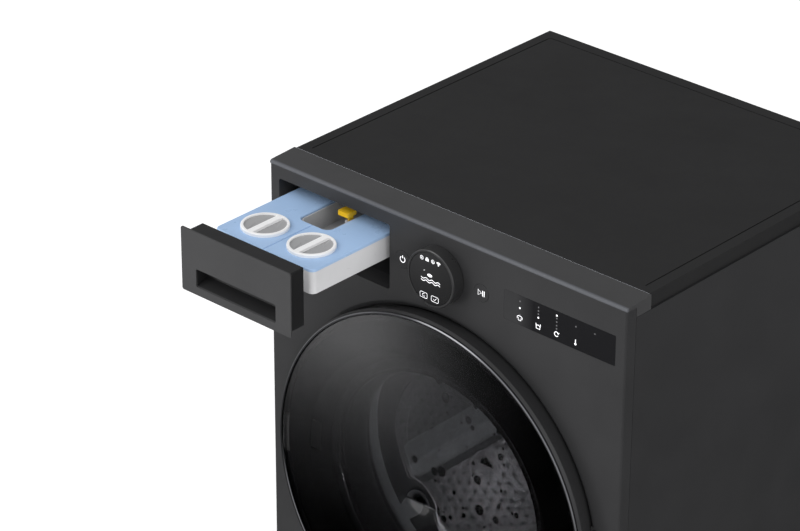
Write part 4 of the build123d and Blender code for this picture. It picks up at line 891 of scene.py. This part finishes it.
SCREW_RADIUS = 4.2
SCREW_HEIGHT = 2.4
SCREW_CROWN = SCREW_RADIUS * 0.62
SCREW_STEPS = 24
SCREW_TURN = 1.5         # most that a screw is turned, in radians
RECESS_ARM = SCREW_RADIUS * 0.5
RECESS_HALF = SCREW_RADIUS * 0.13
RECESS_DEPTH = 1.2
SCREW_INSET = 12         # distance of the side screws from the panel's edges
COVER_SCREWS = 6
COVER_MARGIN = 9         # distance of its screws from the rear cover's edge


def screw(bm, x, y, z, turn):
    """Pan head with a cross recess, standing out along +Y from the sheet at y."""
    head = [(SCREW_RADIUS, y), (SCREW_RADIUS, y + 0.8), (SCREW_RADIUS * 0.86, y + 1.7),
            (SCREW_CROWN, y + SCREW_HEIGHT)]
    revolve(bm, head, (x, z), SCREW_STEPS, closed=False)
    crown_y = y + SCREW_HEIGHT
    arm, half = RECESS_ARM, RECESS_HALF
    cross = [(half, arm), (-half, arm), (-half, half), (-arm, half), (-arm, -half), (-half, -half),
             (-half, -arm), (half, -arm), (half, -half), (arm, -half), (arm, half), (half, half)]
    c, s = math.cos(turn), math.sin(turn)
    top = [bm.verts.new((x + u * c - v * s, crown_y, z + u * s + v * c)) for u, v in cross]
    floor = [bm.verts.new((p.co.x, crown_y - RECESS_DEPTH, p.co.z)) for p in top]
    bridge(bm, [top, floor])
    bm.faces.new(floor)
    rim = [bm.verts.new((u, crown_y, v)) for u, v in circle(x, z, SCREW_CROWN, SCREW_STEPS)]
    edges = [bm.edges.new((rim[k], rim[(k + 1) % len(rim)])) for k in range(len(rim))]
    edges += [bm.edges.get((top[k], top[(k + 1) % len(top)])) for k in range(len(top))]
    bmesh.ops.triangle_fill(bm, use_beauty=True, use_dissolve=False, edges=edges)


def rear_screws():
    """Sheet screws along the sides and foot of the rear panel and around its cover."""
    low, high = spot("rear_panel")
    cover_low, cover_high = spot("rear_cover")
    rng = random.Random(SEED)
    bm = bmesh.new()
    for x in (low.x + SCREW_INSET, high.x - SCREW_INSET):
        for share in (0.03, 0.3, 0.62, 0.965):
            screw(bm, x, high.y, low.z + share * (high.z - low.z), rng.uniform(0, SCREW_TURN))
    for share in (0.2, 0.5, 0.8):
        screw(bm, low.x + share * (high.x - low.x), high.y, low.z + 14, rng.uniform(0, SCREW_TURN))
    x0, z0 = middle(cover_low, cover_high)
    ring = (cover_high.x - cover_low.x) / 2 + COVER_MARGIN
    for k in range(COVER_SCREWS):
        a = math.radians(30 + 60 * k)
        screw(bm, x0 + ring * math.cos(a), high.y, z0 + ring * math.sin(a), rng.uniform(0, SCREW_TURN))
    solid("rear_screws", bm, FINISHES["zinc_steel"], "cabinet")


VENT_COLUMNS = 2
VENT_ROWS = 6
VENT_LENGTH = 60.0
VENT_STEP_X = 80.0
VENT_STEP_Z = 13.0
VENT_START_X = 20
VENT_DROP = 60           # from the top of the panel to the first louvre
VENT_LIP = ((0, 0.0), (3.4, -1.0), (4.2, -3.0), (3.4, -3.4), (0, -8.0))      # (out, up) around a louvre


def rear_vents():
    """Pressed louvres high on the rear panel."""
    _, high = spot("rear_panel")
    bm = bmesh.new()
    for column in range(VENT_COLUMNS):
        for row in range(VENT_ROWS):
            x = VENT_START_X + column * VENT_STEP_X
            z = high.z - VENT_DROP - row * VENT_STEP_Z
            ends = [[bm.verts.new((end, high.y + d, z + v)) for d, v in VENT_LIP]
                    for end in (x, x + VENT_LENGTH)]
            bridge(bm, ends)
            bm.faces.new(ends[0])
            bm.faces.new(ends[1][::-1])
    solid("rear_vents", bm, FINISHES["galvanised_sheet"], "cabinet", bevel=0.5)


# ---------------------------------------------------------------- stage, in metres and degrees

CAMERA_PLACE = (2.55147, -3.06808, 2.83116)
CAMERA_AZIMUTH = 42.426
CAMERA_ELEVATION = 27.893
CAMERA_ROLL = 0.208
CAMERA_LENS = 155.404    # millimetres, on a sensor of SENSOR_WIDTH
SENSOR_WIDTH = 36
CAMERA_REACH = 60


def camera():
    """Camera of the main view."""
    a, e, r = (math.radians(v) for v in (CAMERA_AZIMUTH, CAMERA_ELEVATION, CAMERA_ROLL))
    back = Vector((math.sin(a) * math.cos(e), -math.cos(a) * math.cos(e), math.sin(e)))
    right = Vector((math.cos(a), math.sin(a), 0))
    up = back.cross(right)
    turned_right = right * math.cos(r) + up * math.sin(r)
    turned_up = up * math.cos(r) - right * math.sin(r)
    data = bpy.data.cameras.new("camera")
    data.lens = CAMERA_LENS
    data.sensor_width = SENSOR_WIDTH
    data.clip_end = CAMERA_REACH
    obj = bpy.data.objects.new("camera", data)
    bpy.context.scene.collection.objects.link(obj)
    obj.matrix_world = Matrix((
        (turned_right.x, turned_up.x, back.x, CAMERA_PLACE[0]),
        (turned_right.y, turned_up.y, back.y, CAMERA_PLACE[1]),
        (turned_right.z, turned_up.z, back.z, CAMERA_PLACE[2]),
        (0, 0, 0, 1)))
    bpy.context.scene.camera = obj


# name, place, target, size and power of each light
LIGHTS = (
    ("key", (-1.6, -2.6, 3.2), (0, 0, 0.5), 2.4, 42),
    ("front_left", (-2.3, -3.0, 0.55), (-0.05, -0.2, 0.62), 1.3, 30),
    ("side", (3.2, -0.8, 2.2), (0, 0, 0.6), 2.4, 26),
    ("drum_lamp", (0.05, -0.06, 0.6), (-0.1, 0.15, 0.38), 0.06, 0.6),
)


def lamp(name, place, target, size, power):
    """Square area light that looks at its target."""
    data = bpy.data.lights.new(name, "AREA")
    data.size = size
    data.energy = power
    obj = bpy.data.objects.new(name, data)
    bpy.context.scene.collection.objects.link(obj)
    obj.location = place
    obj.rotation_euler = (Vector(target) - Vector(place)).to_track_quat("-Z", "Y").to_euler()


# ramps of the sky over its direction: where each begins and ends, and its values there
SKY_DEPTH = (-0.7, 0.75, 1.05, 0.3)      # along Y: bright in front, dim behind
SKY_PANEL = (-0.53, -0.36, 0.0, 1.0)     # along Z: lower edge of the left part
SKY_LEFT = (-0.28, 0.05, 0.03, 1.0)      # along Y - X: edge of the left part
SKY_ABOVE = (-0.33, -0.2, 0.0, 1.0)      # along Z: lower edge of all the rest
SKY_COLOUR = (0.99, 0.99, 1.0, 1)
FLOOR_HALF = 9000.0      # millimetres, as the height of the floor
FLOOR_LEVEL = -0.2


def sky():
    """Even white sky, dark far below the horizon and dimmer behind the machine."""
    world = bpy.data.worlds.new("studio")
    bpy.context.scene.world = world
    world.use_nodes = True
    tree = world.node_tree
    place = tree.nodes.new("ShaderNodeTexCoord").outputs["Generated"]
    parts = tree.nodes.new("ShaderNodeSeparateXYZ")
    tree.links.new(place, parts.inputs["Vector"])

    def ramp(source, start, end, low, high):
        node = tree.nodes.new("ShaderNodeMapRange")
        node.interpolation_type = "SMOOTHSTEP"
        for socket, value in (("From Min", start), ("From Max", end), ("To Min", low), ("To Max", high)):
            node.inputs[socket].default_value = value
        tree.links.new(source, node.inputs["Value"])
        return node.outputs["Result"]

    def combine(kind, first, second):
        node = tree.nodes.new("ShaderNodeMath")
        node.operation = kind
        tree.links.new(first, node.inputs[0])
        tree.links.new(second, node.inputs[1])
        return node.outputs[0]

    depth = ramp(parts.outputs["Y"], *SKY_DEPTH)
    leftward = combine("SUBTRACT", parts.outputs["Y"], parts.outputs["X"])
    panel = combine("MULTIPLY", ramp(parts.outputs["Z"], *SKY_PANEL), ramp(leftward, *SKY_LEFT))
    above = ramp(parts.outputs["Z"], *SKY_ABOVE)
    level = combine("MULTIPLY", combine("MAXIMUM", panel, above), depth)
    background = tree.nodes["Background"]
    tree.links.new(level, background.inputs["Strength"])
    background.inputs["Color"].default_value = SKY_COLOUR


def studio():
    """Sky, pale floor and lights."""
    sky()
    bm = bmesh.new()
    corners = ((-1, -1), (1, -1), (1, 1), (-1, 1))
    bm.faces.new([bm.verts.new((x * FLOOR_HALF, y * FLOOR_HALF, FLOOR_LEVEL)) for x, y in corners])
    pale = Finish("pale_floor", (0.93, 0.93, 0.93), 0.7, specular=0.1, Emission_Strength=0.35)
    pale.shader.inputs["Emission Color"].default_value = (1, 1, 1, 1)
    pale.tint(pale.noise(400, 3), 0.99, 1.01)
    floor = solid("studio_floor", bm, pale, None)
    floor.visible_glossy = False
    for light in LIGHTS:
        lamp(*light)
    bpy.context.scene.view_settings.view_transform = "Standard"
    bpy.context.scene.view_settings.look = "None"


# ---------------------------------------------------------------- assembly

for subpart in frame["record"]["subparts"]:
    node = frame["nodes"][subpart["node"]]
    node.data.materials.clear()
    finish = OWN_FINISHES.get(subpart["node"], FINISHES[subpart["material_slot"]])
    node.data.materials.append(finish.material)

display_icons()
power_icon()
play_icon()
option_lights()
drum_shell()
gasket_bellows()
coil_springs()
water_drops()
shaded_cap_scoops()
painted_seam_highlight()
glass_border()
rear_screws()
rear_vents()
camera()
studio()
